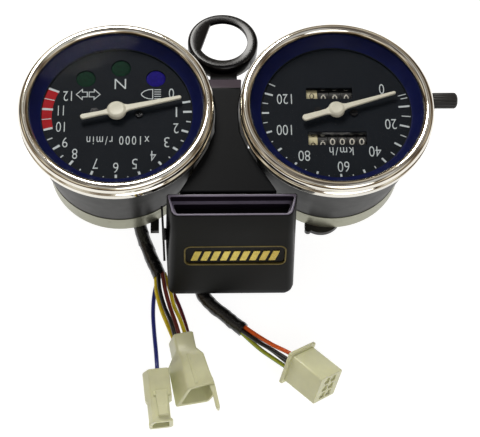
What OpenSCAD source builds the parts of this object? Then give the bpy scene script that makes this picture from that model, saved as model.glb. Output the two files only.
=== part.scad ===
// Twin-dial motorcycle instrument cluster. Origin: centre of the two fixing bolts on the seat plane.
// +Z is normal to the dials, +X points to the speedometer's reset knob, +Y to the key ring (the rider).

/* [Gauges] */
// Distance between the two dial centres
gauge_spacing = 96; // [95.5:0.5:98]
// Outer diameter of each chrome bezel
bezel_d = 85; // [84.6:0.1:85]
// Height of the bezel lips above the mounting seat
lip_z = 66; // [66:0.1:67]
// Outer diameter of the steel cup under each gauge
cup_d = 65.8; // [65:0.2:66]

/* [Mounting] */
// Distance between the two fixing bolts
bolt_spacing = 36; // [34:1:38]
// Hole through each fixing sleeve
bolt_hole_d = 6.5; // [6.2:0.1:7]
// Height of the rubber isolators under the bracket
isolator_h = 9; // [8.8:0.1:9]
// Outer diameter of the threaded drive cable unions
union_d = 12; // [11:0.5:12]

/* [Centre] */
// Outer diameter of the key ring
key_ring_d = 31.6; // [31:0.2:32]
// Backward tilt of the key ring
key_ring_tilt = 4.5; // [4:0.5:9]
// Height of the open rim of the indicator hood
hood_top = 58; // [57.6:0.1:58]

/* [Needles] */
// Rest angle of the tachometer needle, from +X
tach_rest = 13; // [10:1:16]
// Rest angle of the speedometer needle, from +X
speedo_rest = 17.6; // [14:0.2:20]

/* [Hidden] */
$fn = 72;

// Shared gauge levels, measured up from the seat plane
gauge_x = gauge_spacing / 2;
bezel_r = bezel_d / 2;
sheet = 0.8;
lip_r = 2.5;
glass_top = lip_z - 1.4;
glass_z = glass_top - 1.2;
gasket_z = glass_z - 0.8;
flange_z = gasket_z - 0.8;
dial_top = lip_z - 7.6;
dial_z = dial_top - 0.8;
dial_r = 36.5;
skirt_z = lip_z - 8.2;
shoulder_z = skirt_z + 0.7;
case_r = bezel_r - 1.5;
case_foot_r = 33;
case_z = 21;
case_wall = 1.2;
cup_r = cup_d / 2;
plate_z = isolator_h;
plate_t = 2.5;
cup_z = plate_z + plate_t;
union_r = union_d / 2;

// Movement levels and radii
boss_z = cup_z + 3;
base_z = case_z + 1.5;
base_top = base_z + 2;
worm_z = base_top + 3.1;
worm_h = 4;
worm_axis_z = worm_z + worm_h / 2;
magnet_z = base_top + 10.5;
magnet_top = magnet_z + 5;
cup_top = magnet_top + 2;
bridge_z = cup_top + 2.5;
bridge_top = bridge_z + 1.5;
shaft_r = 1.5;
spindle_r = 0.8;
spindle_top = dial_top + 3;
needle_z = dial_top + 1.2;
run_gap = 0.06;
pillar_at = [[11, 11.5], [9.5, -13]];

// Counter drums: both axles lie along X just under the speedometer's dial
drum_r = 5;
drum_axis_z = dial_z - 5.8;
drum_gap = 0.25;
odometer_y = -13.25;
odometer_x = -12.65;
odometer_pitch = 4.25;
odometer_count = 6;
trip_y = 9.75;
trip_x = -12.65;
trip_pitch = 5.1;
trip_count = 4;
axle_r = 1;
gear_module = 0.5;
drum_teeth = 20;
idler_teeth = 32;
idler_y = (odometer_y + trip_y) / 2;
gear_reach = (drum_teeth + idler_teeth) * gear_module / 2;
idler_drop = sqrt(gear_reach * gear_reach - pow((trip_y - odometer_y) / 2, 2));
mesh_angle = asin(idler_drop / gear_reach);
gear_t = 1.2;
gear_x = odometer_x - 0.15 - gear_t;
ratchet_teeth = 50;
ratchet_x = gear_x - 0.2 - gear_t;
ear_x = ratchet_x - 2.1;
ear_t = 1.5;

// Worm drive of the counters
worm_teeth = 28;
worm_pitch = 1;
worm_r = 2.6;
worm_throw = 0.38;
wheel_pitch_r = worm_teeth * worm_pitch / 360 * 180 / PI;
wheel_y = -(worm_r + wheel_pitch_r + 0.12);

// Indicator hood: its bottom, back and middle, its lip's front edge, and how far the front leans out
hood_low = 7.4;
hood_back = -40;
hood_mid = 1.6;
hood_lip_y = -50.8;
hood_rake = 14;
face_lean = atan(hood_rake / (hood_top - hood_low));

// Nameplate on the leaning face: its middle and its frame's outer size
plate_x = 3.15;
plate_z_mid = 33.5;
frame_w = 44.6;
frame_h = 12.4;
frame_wall = 0.7;
pocket_d = 1.4;

// Dial screw and lamp places, from the dial's centre
tach_screw = [9.7, -0.7];
speedo_screw = [7.8, -0.6];
screw_r = 1.1;
lens_r = 4.25;
tach_lens_at = [[-13.9, 17.8], [1.5, 23.2], [16.9, 17.8]];
tach_lamp_at = [[-13.9, 17.8], [1.5, 23.2], [16.9, 17.8], [-20, -14], [20, -14]];
speedo_lamp_at = [[-22, 14], [20, -17]];
socket_r = 4.2;
grommet_at = [8, -20];
grommet_r = 4.2;

// Wiring routes, chosen by hand along the bench
wire_d = 1.9;
loom_d = 6.5;
tach_loom_path = [
    [-40, -20, 14], [-40, -20.8, 10], [-39.9, -23.1, 6.5], [-39.6, -26.5, 4.3],
    [-38.6, -31, 3.4], [-36.3, -38, 3.4], [-33.3, -46, 3.4], [-30.2, -53, 3.4]
];
hood_loom_path = [
    [-12, -48, 25], [-12, -48, 18], [-12, -50, 11], [-12, -55, 5.4], [-11.4, -61, 3.6],
    [-8, -66.5, 3.5], [-2, -72, 3.5], [3, -76.5, 3.5], [7, -80, 3.7]
];
blue_path = [
    [-31, -52.6, 1.5], [-32.8, -61, 1.1], [-33.3, -70, 1.1], [-32.8, -79, 1.3], [-32, -88, 2.4],
    [-31.4, -96, 4.2], [-31.2, -100.6, 4.6]
];
yellow_path = [[-32.1, -53.2, 3.5], [-31.6, -61, 3], [-29.6, -69, 2.6], [-26.8, -77, 3.8], [-23.8, -85.4, 5.8]];
black_path = [[-31, -52.6, 5.2], [-30.2, -61, 5.6], [-28.2, -69, 6.2], [-25.4, -77, 8], [-23.2, -85.4, 9.4]];
brown_path = [[-29.1, -51.9, 5.2], [-27.8, -60.4, 4.9], [-25.8, -68.6, 5], [-23.4, -76.6, 6.4], [-21.2, -85, 7.8]];
striped_path = [[-28.2, -51.6, 3.5], [-25.6, -60, 3.3], [-23.8, -68, 3.6], [-20.9, -76, 6.2], [-18.6, -84.4, 8.8]];
maroon_path = [[-29, -51.8, 1.3], [-25.2, -58.4, 1], [-21.6, -67, 1.3], [-19, -76, 3.4], [-17.2, -84.2, 5.4]];
orange_path = [[7.2, -78.7, 4.8], [12.9, -84, 7], [19.2, -89.8, 10.4], [24.8, -94, 13.1], [30.8, -98.3, 14.8]];
green_path = [[5.8, -80.3, 2.6], [13.4, -88.6, 4], [19.1, -94.2, 6.3], [28, -102.4, 9.9]];
dark_path = [[5.8, -80.3, 4.8], [13.2, -86.9, 6.8], [19.5, -92.3, 10], [28.8, -100.5, 13.8]];
plain_path = [[7.2, -78.7, 2.6], [14.2, -86.2, 4.4], [19.9, -91.9, 7.6], [28.5, -101.4, 11.7]];

// Connector places: rotations turn the length onto local -Y
single_at = [-31.2, -99.6, 0];
single_turn = 6;
multi_at = [-20.4, -84, 0];
multi_turn = 10.4;
plug_at = [42.3, -111.8, 15.6];
plug_l = 19;
plug_w = 14.2;
plug_h = 13.9;
plug_flange = 1.4;
plug_axes = [[0.693, 0.678, 0.245], [0.519, -0.705, 0.483], [-0.5, 0.208, 0.84]];

module at_tach() {
    translate([-gauge_x, 0, 0]) children();
}

module at_speedo() {
    translate([gauge_x, 0, 0]) children();
}

function unit(v) = v / norm(v);
function heading(p, i) = unit(p[min(i + 1, len(p) - 1)] - p[max(i - 1, 0)]);

// Round tube swept along a hand-laid route; side is any direction that the route never follows
module tube(path, d, sides = 8, side = [0, 0, 1]) {
    rings = [
        for (i = [0 : len(path) - 1])
            let (t = heading(path, i), s = unit(cross(t, side)), n = cross(s, t))
            for (k = [0 : sides - 1])
                path[i] + d / 2 * (cos(360 * k / sides) * s + sin(360 * k / sides) * n)
    ];
    last = (len(path) - 1) * sides;
    walls = [
        for (i = [0 : len(path) - 2], k = [0 : sides - 1])
            let (a = i * sides + k, b = i * sides + (k + 1) % sides)
            each [[a, b, b + sides], [a, b + sides, a + sides]]
    ];
    near_cap = [for (k = [0 : sides - 1]) sides - 1 - k];
    far_cap = [for (k = [0 : sides - 1]) last + k];
    polyhedron(points = rings, faces = concat([near_cap], walls, [far_cap]));
}

// Spur gear blank with straight-sided teeth, its axis along X from the origin
module gear(teeth, thickness, tip, root, tip_w, root_w, phase = 0) {
    rotate([90, 0, 90]) linear_extrude(thickness) union() {
        circle(r = root);
        for (i = [0 : teeth - 1])
            rotate(phase + 360 * i / teeth)
                polygon([[root - 0.2, -root_w / 2], [tip, -tip_w / 2], [tip, tip_w / 2], [root - 0.2, root_w / 2]]);
    }
}

module along_x(length, r) {
    rotate([0, 90, 0]) cylinder(h = length, r = r);
}

// ---- Gauge pieces shared by both dials ----

module bezel() {
    lip_y = lip_z - lip_r;
    mid_r = bezel_r - lip_r;
    color("silver") rotate_extrude($fn = 144) union() {
        difference() {
            translate([mid_r, lip_y]) circle(r = lip_r, $fn = 48);
            translate([mid_r, lip_y]) circle(r = lip_r - sheet, $fn = 48);
            translate([mid_r - lip_r - 1, lip_y - lip_r - 1]) square([lip_r + 1, glass_top - lip_y + lip_r + 1]);
            translate([mid_r - 1, lip_y - lip_r - 1]) square([lip_r + 2, lip_r + 1]);
        }
        translate([bezel_r - sheet, skirt_z]) square([sheet - 0.3, lip_y - skirt_z]);
        translate([bezel_r - sheet, skirt_z]) square([sheet, lip_y - skirt_z - 1.6]);
        translate([case_r + 0.1, skirt_z]) square([bezel_r - case_r - 0.2, 0.6]);
    }
}

module glass_disc() {
    color([0.8, 0.9, 0.95, 0.3]) translate([0, 0, glass_z]) cylinder(h = glass_top - glass_z, r = bezel_r - 1.3);
}

module gasket() {
    translate([0, 0, gasket_z]) difference() {
        cylinder(h = glass_z - gasket_z, r = bezel_r - 1.3);
        translate([0, 0, -1]) cylinder(h = 4, r = 38);
    }
}

module reflector() {
    color("midnightblue") rotate_extrude($fn = 144)
        polygon([[32.7, dial_top], [34, dial_top], [37.9, gasket_z - 0.2], [37.9, glass_z], [37.4, glass_z]]);
}

module dial_plate(windows) {
    color([0.08, 0.1, 0.13]) translate([0, 0, dial_z]) linear_extrude(dial_top - dial_z) difference() {
        circle(r = dial_r, $fn = 144);
        circle(r = 2.2);
        for (at = windows) translate(at[0]) square(at[1], center = true);
        children();
    }
}

module case_shell(lamps) {
    color([0.2, 0.2, 0.19]) difference() {
        rotate_extrude($fn = 144) polygon([
            [12, case_z], [case_foot_r, case_z], [case_r, skirt_z - 0.1], [case_r, shoulder_z],
            [case_r + 0.55, shoulder_z], [case_r + 0.55, gasket_z], [38, gasket_z], [38, flange_z], [case_r - 0.7, flange_z],
            [case_r - 0.7, shoulder_z], [case_r - case_wall, skirt_z - 0.6],
            [case_foot_r - case_wall, base_z], [12, base_z]
        ]);
        for (at = lamps) translate([at[0], at[1], case_z - 1]) cylinder(h = 4, r = socket_r);
        children();
    }
}

module lower_cup() {
    color([0.6, 0.6, 0.55]) difference() {
        union() {
            translate([0, 0, cup_z]) cylinder(h = case_z - cup_z, r = cup_r);
            translate([0, 0, case_z - 1.2]) cylinder(h = 1.2, r = cup_r + 0.4);
        }
        translate([0, 0, cup_z + 1]) cylinder(h = case_z, r = cup_r - 1);
        translate([0, 0, cup_z - 1]) cylinder(h = 3, r = union_r + 0.1);
        children();
    }
}

// Threaded union that the drive cable screws onto, with the cable's seat inside
module cable_union() {
    thread_l = plate_z - 0.4;
    color("darkgoldenrod") difference() {
        union() {
            cylinder(h = thread_l, r = union_r);
            cylinder(h = cup_z + 1.5, r = union_r - 0.4);
            translate([0, 0, cup_z + 1]) cylinder(h = 2, r = union_r + 2);
        }
        translate([0, 0, -1]) cylinder(h = cup_z + 5, r = 3.6);
    }
}

// Die-cast frame: base with the shaft's long bearing, two pillars, the bridge and the dial posts
module movement_frame(bridge_box, screw) {
    difference() {
        union() {
            translate([0, 0, boss_z]) cylinder(h = base_top - boss_z, r = 7);
            translate([0, 0, base_z]) cylinder(h = base_top - base_z, r = 18);
            for (at = pillar_at, side = [-1, 1])
                translate([side * at[0], at[1], base_top]) cylinder(h = bridge_z - base_top, r = 1.8);
            translate([bridge_box[0][0], bridge_box[0][1], bridge_z])
                cube([bridge_box[1][0] - bridge_box[0][0], bridge_box[1][1] - bridge_box[0][1], 1.5]);
            for (side = [-1, 1])
                translate([side * screw[0], side * screw[1], bridge_top]) cylinder(h = dial_z - bridge_top, r = 1.7);
        }
        translate([0, 0, boss_z - 1]) cylinder(h = base_top - boss_z + 2, r = shaft_r + 0.5 + run_gap);
        translate([0, 0, bridge_z - 1]) cylinder(h = 4, r = spindle_r + run_gap);
        for (side = [-1, 1])
            translate([side * screw[0], side * screw[1], dial_z - 5]) cylinder(h = 6, r = screw_r);
    }
}

// Drive shaft with the cable's square socket below and the drag magnet on top
module magnet_shaft() {
    difference() {
        union() {
            color("gray") translate([0, 0, 6]) cylinder(h = 7, r = 3);
            color("gray") translate([0, 0, 13]) cylinder(h = base_top + 0.6 - 13, r = shaft_r + 0.5);
            color("gray") translate([0, 0, base_top]) cylinder(h = magnet_z - base_top, r = shaft_r);
            color("dimgray") translate([0, 0, magnet_z]) cylinder(h = magnet_top - magnet_z, r = 10);
        }
        translate([-1.3, -1.3, 5]) cube([2.6, 2.6, 8]);
        translate([0, 0, magnet_top - 2]) cylinder(h = 3, r = 0.6);
    }
}

// Needle spindle with its drag cup turned down over the magnet
module drag_spindle() {
    color("lightgray") union() {
        translate([0, 0, magnet_top - 1.6]) cylinder(h = 3, r = 0.55);
        translate([0, 0, cup_top - 0.6]) cylinder(h = spindle_top - cup_top + 0.6, r = spindle_r);
        difference() {
            translate([0, 0, magnet_z + 1]) cylinder(h = cup_top - magnet_z - 1, r = 11.7);
            translate([0, 0, magnet_z]) cylinder(h = cup_top - 0.6 - magnet_z, r = 11.1);
        }
    }
}

// Flat spiral return spring round the spindle, between the drag cup and the bridge
module hairspring() {
    turns = 3;
    step = 24;
    inner = 1.6;
    pitch = 1.4;
    band = 0.35;
    spiral = [for (a = [0 : step : 360 * turns]) (inner + pitch * a / 360) * [cos(a), sin(a)]];
    outer = [for (a = [360 * turns : -step : 0]) (inner + band + pitch * a / 360) * [cos(a), sin(a)]];
    color("goldenrod") translate([0, 0, cup_top + 0.8]) linear_extrude(0.8) difference() {
        union() {
            circle(r = inner + band + 0.1);
            polygon(concat(spiral, outer));
        }
        circle(r = spindle_r);
    }
}

// Tapered pointer with a broad tail and a domed hub, lying at its rest angle
module needle(tip, tail, hub_r, rest) {
    color("white") rotate([0, 0, rest]) difference() {
        union() {
            translate([0, 0, needle_z + 0.8]) linear_extrude(0.7) polygon([
                [-tail, -1.5], [-tail + 0.7, -1.9], [-4, -1.3], [3, -1.5], [tip - 1, -0.5], [tip, 0],
                [tip - 1, 0.5], [3, 1.5], [-4, 1.3], [-tail + 0.7, 1.9], [-tail, 1.5]
            ]);
            translate([0, 0, needle_z]) cylinder(h = 2.2, r = hub_r);
            translate([0, 0, needle_z + 2.2]) cylinder(h = 0.5, r1 = hub_r, r2 = hub_r - 0.8);
        }
        translate([0, 0, needle_z - 1]) cylinder(h = spindle_top - needle_z + 1, r = spindle_r);
    }
}

// Rubber lamp sockets pushed through the case floor, each with its bulb
module bulb_holders(lamps) {
    for (at = lamps) translate([at[0], at[1], 0]) {
        color([0.15, 0.15, 0.15]) union() {
            translate([0, 0, case_z - 4]) cylinder(h = 4, r = socket_r + 0.8);
            translate([0, 0, case_z - 0.5]) cylinder(h = 5, r = socket_r);
        }
        color("ivory") translate([0, 0, case_z + 4.5]) cylinder(h = 5, r = 2.6);
        color("ivory") translate([0, 0, case_z + 9.5]) sphere(r = 2.6);
    }
}

// ---- Tachometer ----

module tach_bezel() { at_tach() bezel(); }
module tach_glass() { at_tach() glass_disc(); }
module tach_reflector() { at_tach() reflector(); }

module tach_dial() {
    at_tach() dial_plate([]) {
        for (side = [-1, 1]) translate(side * tach_screw) circle(r = screw_r);
        for (at = tach_lens_at) translate(at) circle(r = lens_r + 0.05);
    }
}

module tach_case() {
    at_tach() case_shell(tach_lamp_at);
}

module tach_cup() {
    at_tach() lower_cup() translate([grommet_at[0], grommet_at[1], cup_z - 1]) cylinder(h = 4, r = grommet_r);
}

module tach_union() { at_tach() cable_union(); }

module tach_movement() {
    color("darkgray") at_tach() movement_frame([[-13, -15], [13, 13.5]], tach_screw);
}

module tach_magnet_shaft() { at_tach() magnet_shaft(); }
module tach_spindle() { at_tach() drag_spindle(); }
module tach_hairspring() { at_tach() hairspring(); }
module tach_needle() { at_tach() needle(28.9, 15.9, 4.2, tach_rest); }

// Coloured indicator lenses, each with a shoulder under the dial
module tach_lenses() {
    tints = ["darkgreen", "darkgreen", "darkblue"];
    at_tach() for (i = [0 : 2]) color(tints[i]) translate([tach_lens_at[i][0], tach_lens_at[i][1], 0]) union() {
        translate([0, 0, dial_z - 2]) cylinder(h = 2, r = lens_r + 0.6);
        translate([0, 0, dial_z]) cylinder(h = 0.9, r = lens_r);
    }
}

module tach_bulb_holders() { at_tach() bulb_holders(tach_lamp_at); }

// ---- Speedometer ----

module speedo_bezel() { at_speedo() bezel(); }
module speedo_glass() { at_speedo() glass_disc(); }
module speedo_reflector() { at_speedo() reflector(); }

module speedo_dial() {
    odometer_window = [[odometer_x + odometer_pitch * 3 - 0.12, odometer_y], [25.5, 6.7]];
    trip_window = [[trip_x + trip_pitch * 2 - 0.12, trip_y], [20.4, 5.7]];
    at_speedo() dial_plate([odometer_window, trip_window])
        for (side = [-1, 1]) translate(side * speedo_screw) circle(r = screw_r);
}

module speedo_case() {
    at_speedo() case_shell(speedo_lamp_at) translate([30, trip_y, drum_axis_z]) along_x(14, axle_r + run_gap);
}

module speedo_cup() { at_speedo() lower_cup(); }
module speedo_union() { at_speedo() cable_union(); }

// One bearing ear, standing from level low to level high, for an axle at height z
module ear(x, y, half, low, high) {
    translate([x, y - half, low]) cube([ear_t, 2 * half, high - low]);
}

module speedo_movement() {
    inner_ear_x = odometer_x + odometer_count * odometer_pitch + 0.3;
    color("darkgray") at_speedo() difference() {
        union() {
            difference() {
                movement_frame([[ear_x, -17.5], [16.2, 13.5]], speedo_screw);
                translate([ratchet_x - 0.6, -15, bridge_z - 1]) cube([gear_t + 1.2, 7, 4]);
                translate([gear_x - 0.4, idler_y - 10, bridge_z - 1]) cube([gear_t + 0.8, 20, 4]);
            }
            ear(ear_x, odometer_y, 2.5, bridge_top, drum_axis_z + 2.5);
            ear(inner_ear_x, odometer_y, 2.5, bridge_top, drum_axis_z + 2.5);
            ear(ear_x, trip_y, 2.5, bridge_top, drum_axis_z + 2.5);
            translate([ear_x, idler_y, drum_axis_z - idler_drop])
                along_x(gear_x + gear_t - ear_x - 0.1, spindle_r);
            ear(-12.4, wheel_y, 2, base_top, worm_axis_z + 2);
            ear(9, wheel_y, 2, base_top, worm_axis_z + 2);
        }
        for (y = [odometer_y, trip_y])
            translate([ear_x - 1, y, drum_axis_z]) along_x(40, axle_r + (y == trip_y ? run_gap : 0));
        translate([-13, wheel_y, worm_axis_z]) along_x(30, 0.9 + run_gap);
    }
}

module speedo_magnet_shaft() { at_speedo() magnet_shaft(); }

// Single-start worm: a round bar set off centre and twisted once per pitch
module speedo_worm() {
    color("khaki") at_speedo() translate([0, 0, worm_z])
        linear_extrude(worm_h, twist = -360 * worm_h / worm_pitch, slices = 40, $fn = 12) difference() {
            translate([0, -worm_throw]) circle(r = worm_r);
            circle(r = shaft_r + 0.05);
        }
}

module speedo_spindle() { at_speedo() drag_spindle(); }
module speedo_hairspring() { at_speedo() hairspring(); }
module speedo_needle() { at_speedo() needle(27.8, 15.6, 3.6, speedo_rest); }
module speedo_bulb_holders() { at_speedo() bulb_holders(speedo_lamp_at); }

// Cross shaft: worm wheel in the middle, crank for the pawl at its outer end
module worm_wheel_shaft() {
    color("wheat") at_speedo() translate([0, wheel_y, worm_axis_z]) union() {
        translate([-0.8, 0, 0])
            gear(worm_teeth, 1.6, wheel_pitch_r + 0.29, wheel_pitch_r - 0.35, 0.16, 0.44, 180 / worm_teeth);
        translate([ratchet_x, 0, 0]) along_x(11.5 - ratchet_x, 0.9);
        translate([ratchet_x, 0.6, 0]) along_x(gear_t, 1.6);
    }
}

// Pawl that steps the ratchet once per turn of the crank
module odometer_pawl() {
    eye_r = 3.8;
    color("gray") at_speedo() translate([ratchet_x, wheel_y, worm_axis_z]) rotate([90, 0, 90])
        linear_extrude(gear_t) difference() {
            union() {
                circle(r = eye_r);
                polygon([[-3.6, 1], [-1, 3], [-4.4, drum_axis_z - worm_axis_z - 5.4],
                         [-5.6, drum_axis_z - worm_axis_z - 5.4]]);
            }
            circle(r = 2.6);
        }
}

module odometer_axle() {
    color("gray") at_speedo() translate([ear_x, odometer_y, drum_axis_z])
        along_x(odometer_x + odometer_count * odometer_pitch + 0.3 + ear_t - ear_x, axle_r);
}

// Number drum with its bore, starting at x
module drum(x, pitch, bore) {
    translate([x, 0, 0]) difference() {
        along_x(pitch - drum_gap, drum_r);
        translate([-1, 0, 0]) along_x(pitch + 2, bore);
    }
}

// The fastest drum carries the ratchet and the gear that drives the trip counter
module odometer_tenths_drum() {
    color("cornsilk") at_speedo() translate([0, odometer_y, drum_axis_z]) difference() {
        union() {
            translate([ratchet_x + gear_t - 0.1, 0, 0])
                along_x(odometer_x + odometer_pitch - drum_gap - ratchet_x - gear_t + 0.1, 3);
            translate([odometer_x, 0, 0]) along_x(odometer_pitch - drum_gap, drum_r);
            translate([gear_x, 0, 0]) gear(drum_teeth, gear_t, 5.45, 4.35, 0.3, 0.8, -mesh_angle);
            translate([ratchet_x, 0, 0]) gear(ratchet_teeth, gear_t, 4.9, 4.5, 0.12, 0.4);
        }
        translate([ratchet_x - 1, 0, 0]) along_x(20, axle_r + run_gap);
    }
}

module odometer_upper_drums() {
    color("dimgray") at_speedo() translate([0, odometer_y, drum_axis_z])
        for (i = [1 : odometer_count - 1])
            drum(odometer_x + i * odometer_pitch, odometer_pitch, axle_r + run_gap);
}

module trip_idler_gear() {
    gap_phase = 180 - mesh_angle + 180 / idler_teeth;
    idler_r = idler_teeth * gear_module / 2;
    color("ivory") at_speedo() translate([gear_x, idler_y, drum_axis_z - idler_drop]) difference() {
        gear(idler_teeth, gear_t, idler_r + 0.45, idler_r - 0.65, 0.3, 0.8, gap_phase);
        translate([-1, 0, 0]) along_x(4, spindle_r + run_gap);
    }
}

module trip_tenths_drum() {
    // The idler's gap nearest the line of centres, and the tooth turned to sit in it
    idler_pitch = 360 / idler_teeth;
    gap_angle = 180 - mesh_angle - idler_pitch * round((180 - 2 * mesh_angle) / idler_pitch);
    tooth_phase = 180 + mesh_angle - (gap_angle - mesh_angle) * idler_teeth / drum_teeth;
    color("cornsilk") at_speedo() translate([0, trip_y, drum_axis_z]) difference() {
        union() {
            translate([gear_x, 0, 0]) along_x(2, 3);
            translate([trip_x, 0, 0]) along_x(trip_pitch - drum_gap, drum_r);
            translate([gear_x, 0, 0]) gear(drum_teeth, gear_t, 5.45, 4.35, 0.3, 0.8, tooth_phase);
        }
        translate([gear_x - 1, 0, 0]) along_x(20, axle_r + run_gap);
    }
}

module trip_upper_drums() {
    color("dimgray") at_speedo() translate([0, trip_y, drum_axis_z])
        for (i = [1 : trip_count - 1]) drum(trip_x + i * trip_pitch, trip_pitch, axle_r + run_gap);
}

module trip_reset_shaft() {
    color("gray") at_speedo() translate([0, trip_y, drum_axis_z]) union() {
        translate([ear_x - 0.5, 0, 0]) along_x(48 - ear_x, axle_r);
        translate([8, 0, 0]) along_x(1.2, 2.2);
        translate([ear_x - 1.2, 0, 0]) along_x(1, 2);
    }
}

// Ribbed knob pressed on the reset shaft
module trip_reset_knob() {
    knob_x = 41.2;
    knob_l = 14;
    rib = 0.35;
    color([0.12, 0.11, 0.1]) at_speedo() translate([knob_x, trip_y, drum_axis_z]) difference() {
        union() {
            along_x(knob_l - 1, 3.2);
            translate([knob_l - 1, 0, 0]) rotate([0, 90, 0]) cylinder(h = 1, r1 = 3.2, r2 = 2.3);
            along_x(3, 3.5);
            for (i = [0 : 15]) rotate([22.5 * i, 0, 0])
                translate([2, -0.35, 2.8]) cube([knob_l - 3.4, 0.7, 0.4 + rib]);
        }
        translate([-1, 0, 0]) along_x(7.8 - 0.5, axle_r);
    }
}

// ---- Pieces in pairs ----

module glass_gaskets() {
    color([0.05, 0.05, 0.05]) union() {
        at_tach() gasket();
        at_speedo() gasket();
    }
}

// Cheese-head screw with a cross slot, its head on the dial
module dial_screw(at) {
    color([0.1, 0.1, 0.1]) translate([at[0], at[1], dial_top]) difference() {
        union() {
            translate([0, 0, -4.6]) cylinder(h = 4.8, r = screw_r);
            cylinder(h = 0.7, r = 1.7);
        }
        translate([-1.1, -0.2, 0.35]) cube([2.2, 0.4, 1]);
    }
}

module dial_screws() {
    for (side = [-1, 1]) {
        at_tach() dial_screw(side * tach_screw);
        at_speedo() dial_screw(side * speedo_screw);
    }
}

// ---- Bracket and covers ----

// Bent steel plate that carries both gauges, with a cable hook and a loom tab
module mounting_bracket() {
    pad_r = 15.5;
    lug = bolt_spacing / 2;
    color([0.45, 0.42, 0.38]) translate([0, 0, plate_z]) linear_extrude(plate_t) difference() {
        union() {
            translate([-gauge_x, -9]) square([gauge_spacing, 18]);
            translate([-11, -lug]) square([22, bolt_spacing]);
            for (side = [-1, 1]) {
                translate([side * gauge_x, 0]) circle(r = pad_r);
                translate([0, side * lug]) circle(r = 11);
            }
            translate([43, -32]) square([7, 20]);
            intersection() {
                translate([43.4, -26]) difference() {
                    circle(r = 9.6);
                    circle(r = 6.4);
                }
                translate([36, -37]) square([15, 6.5]);
            }
            translate([37.4, -33.6]) circle(r = 1.5);
            translate([-34.4, -34]) square([3.8, 27]);
        }
        for (side = [-1, 1]) {
            translate([side * gauge_x, 0]) circle(r = union_r + 0.1);
            translate([0, side * lug]) circle(r = bolt_hole_d / 2 + 1.75);
        }
    }
}

// Rubber bushes that stand on the seat
module isolators() {
    color([0.06, 0.06, 0.06]) for (side = [-1, 1]) translate([0, side * bolt_spacing / 2, 0]) difference() {
        union() {
            cylinder(h = isolator_h, r = 9);
            translate([0, 0, isolator_h + plate_t]) cylinder(h = 2, r = 7.5);
        }
        translate([0, 0, -1]) cylinder(h = isolator_h + plate_t + 5, r = bolt_hole_d / 2 + 1.75);
    }
}

// Steel sleeves that the fixing bolts clamp
module fixing_sleeves() {
    color("silver") for (side = [-1, 1]) translate([0, side * bolt_spacing / 2, 0]) difference() {
        cylinder(h = isolator_h + plate_t + 2, r = bolt_hole_d / 2 + 1.75);
        translate([0, 0, -1]) cylinder(h = isolator_h + plate_t + 5, r = bolt_hole_d / 2);
    }
}

// Outline of the cover between the gauges, moved in by inset
module cover_outline(inset) {
    difference() {
        polygon([
            [-7.9 + inset, 19.2 - inset], [6.9 - inset, 19.2 - inset], [5.4 - inset, -9], [9 - inset, -18.3],
            [20.8 - inset, -39 + inset], [-20.8 + inset, -39 + inset], [-9 + inset, -18.3], [-5.4 + inset, -9]
        ]);
        for (side = [-1, 1]) translate([side * gauge_x, 0]) circle(r = bezel_r + 0.4 + inset, $fn = 144);
    }
}

// Open-bottomed shell between the gauges, bevelled where it meets the key ring
module centre_cover() {
    cover_low = isolator_h + plate_t + 2;
    color([0.13, 0.14, 0.16]) difference() {
        translate([0, 0, cover_low]) linear_extrude(hood_top - cover_low) cover_outline(0);
        translate([0, 0, cover_low - 1]) linear_extrude(hood_top - cover_low - 1) cover_outline(1.8);
        translate([-12, 13, hood_top]) rotate([-22, 0, 0]) cube([24, 12, 8]);
    }
}

// Tilted ring round the ignition lock: thin top with a D-shaped opening over an open skirt,
// and a neck that meets the cover's end
module key_ring() {
    ring_r = key_ring_d / 2;
    skirt_h = 8;
    skirt_slope = 8.7;
    wall = 1.8;
    neck = [[19.2, 45], [19.2, 53.8], [23.4, 55.4], [23.4, 53], [21.8, 46]];
    color([0.03, 0.03, 0.03]) union() {
        translate([-1.1, 38.1, hood_top]) rotate([-key_ring_tilt, 0, 0]) difference() {
            rotate_extrude($fn = 120) union() {
                translate([ring_r - wall, -skirt_h]) square([wall, skirt_h - 1.6]);
                translate([0, -1.8]) square([ring_r - 1.6, 1.8]);
                translate([ring_r - 1.6, -1.6]) circle(r = 1.6, $fn = 32);
            }
            difference() {
                translate([0, 0, -5]) cylinder(h = 8, r = 11.05, $fn = 96);
                rotate([0, 0, 163]) translate([8.1, -20, -6]) cube([10, 40, 10]);
            }
            translate([-20, -ring_r, -skirt_h]) rotate([skirt_slope, 0, 0]) translate([0, -5, -10]) cube([40, 50, 10]);
        }
        translate([-7, 0, 0]) rotate([90, 0, 90]) linear_extrude(12) polygon(neck);
    }
}

// Strap under the hood with an upright back plate and a side flange
module hood_stay() {
    strap_z = plate_z + plate_t;
    color([0.1, 0.1, 0.1]) union() {
        translate([-10, -40, strap_z]) cube([20, 14.2, 1.6]);
        translate([-26, -40, strap_z]) cube([52, 1, 12.5]);
        translate([-29, -40, 14]) cube([3.4, 1, 10]);
        translate([0, 0, 13]) linear_extrude(32)
            polygon([[-29, -39], [-28.1, -39], [-27.5, -50], [-28.5, -50]]);
    }
}

function hood_lean(z) = (hood_top - z) / (hood_top - hood_low);
function hood_front(z) = hood_lip_y - hood_rake * hood_lean(z);
function hood_half(z) = 25.6 + 2.4 * hood_lean(z);
function hood_back_half(z) = 28 + 1.2 * hood_lean(z);

// Outer form of the hood, moved in by inset, between two heights
module hood_form(inset, low, high, corner) {
    hull() for (z = [low, high], side = [-1, 1]) {
        translate([hood_mid + side * (hood_back_half(z) - inset - 0.6), hood_back - inset - 0.6, z])
            cylinder(h = 0.01, r = 0.6, $fn = 16);
        translate([hood_mid + side * (hood_half(z) - inset - corner), hood_front(z) + inset + corner, z])
            cylinder(h = 0.01, r = corner, $fn = 32);
    }
}

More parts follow.
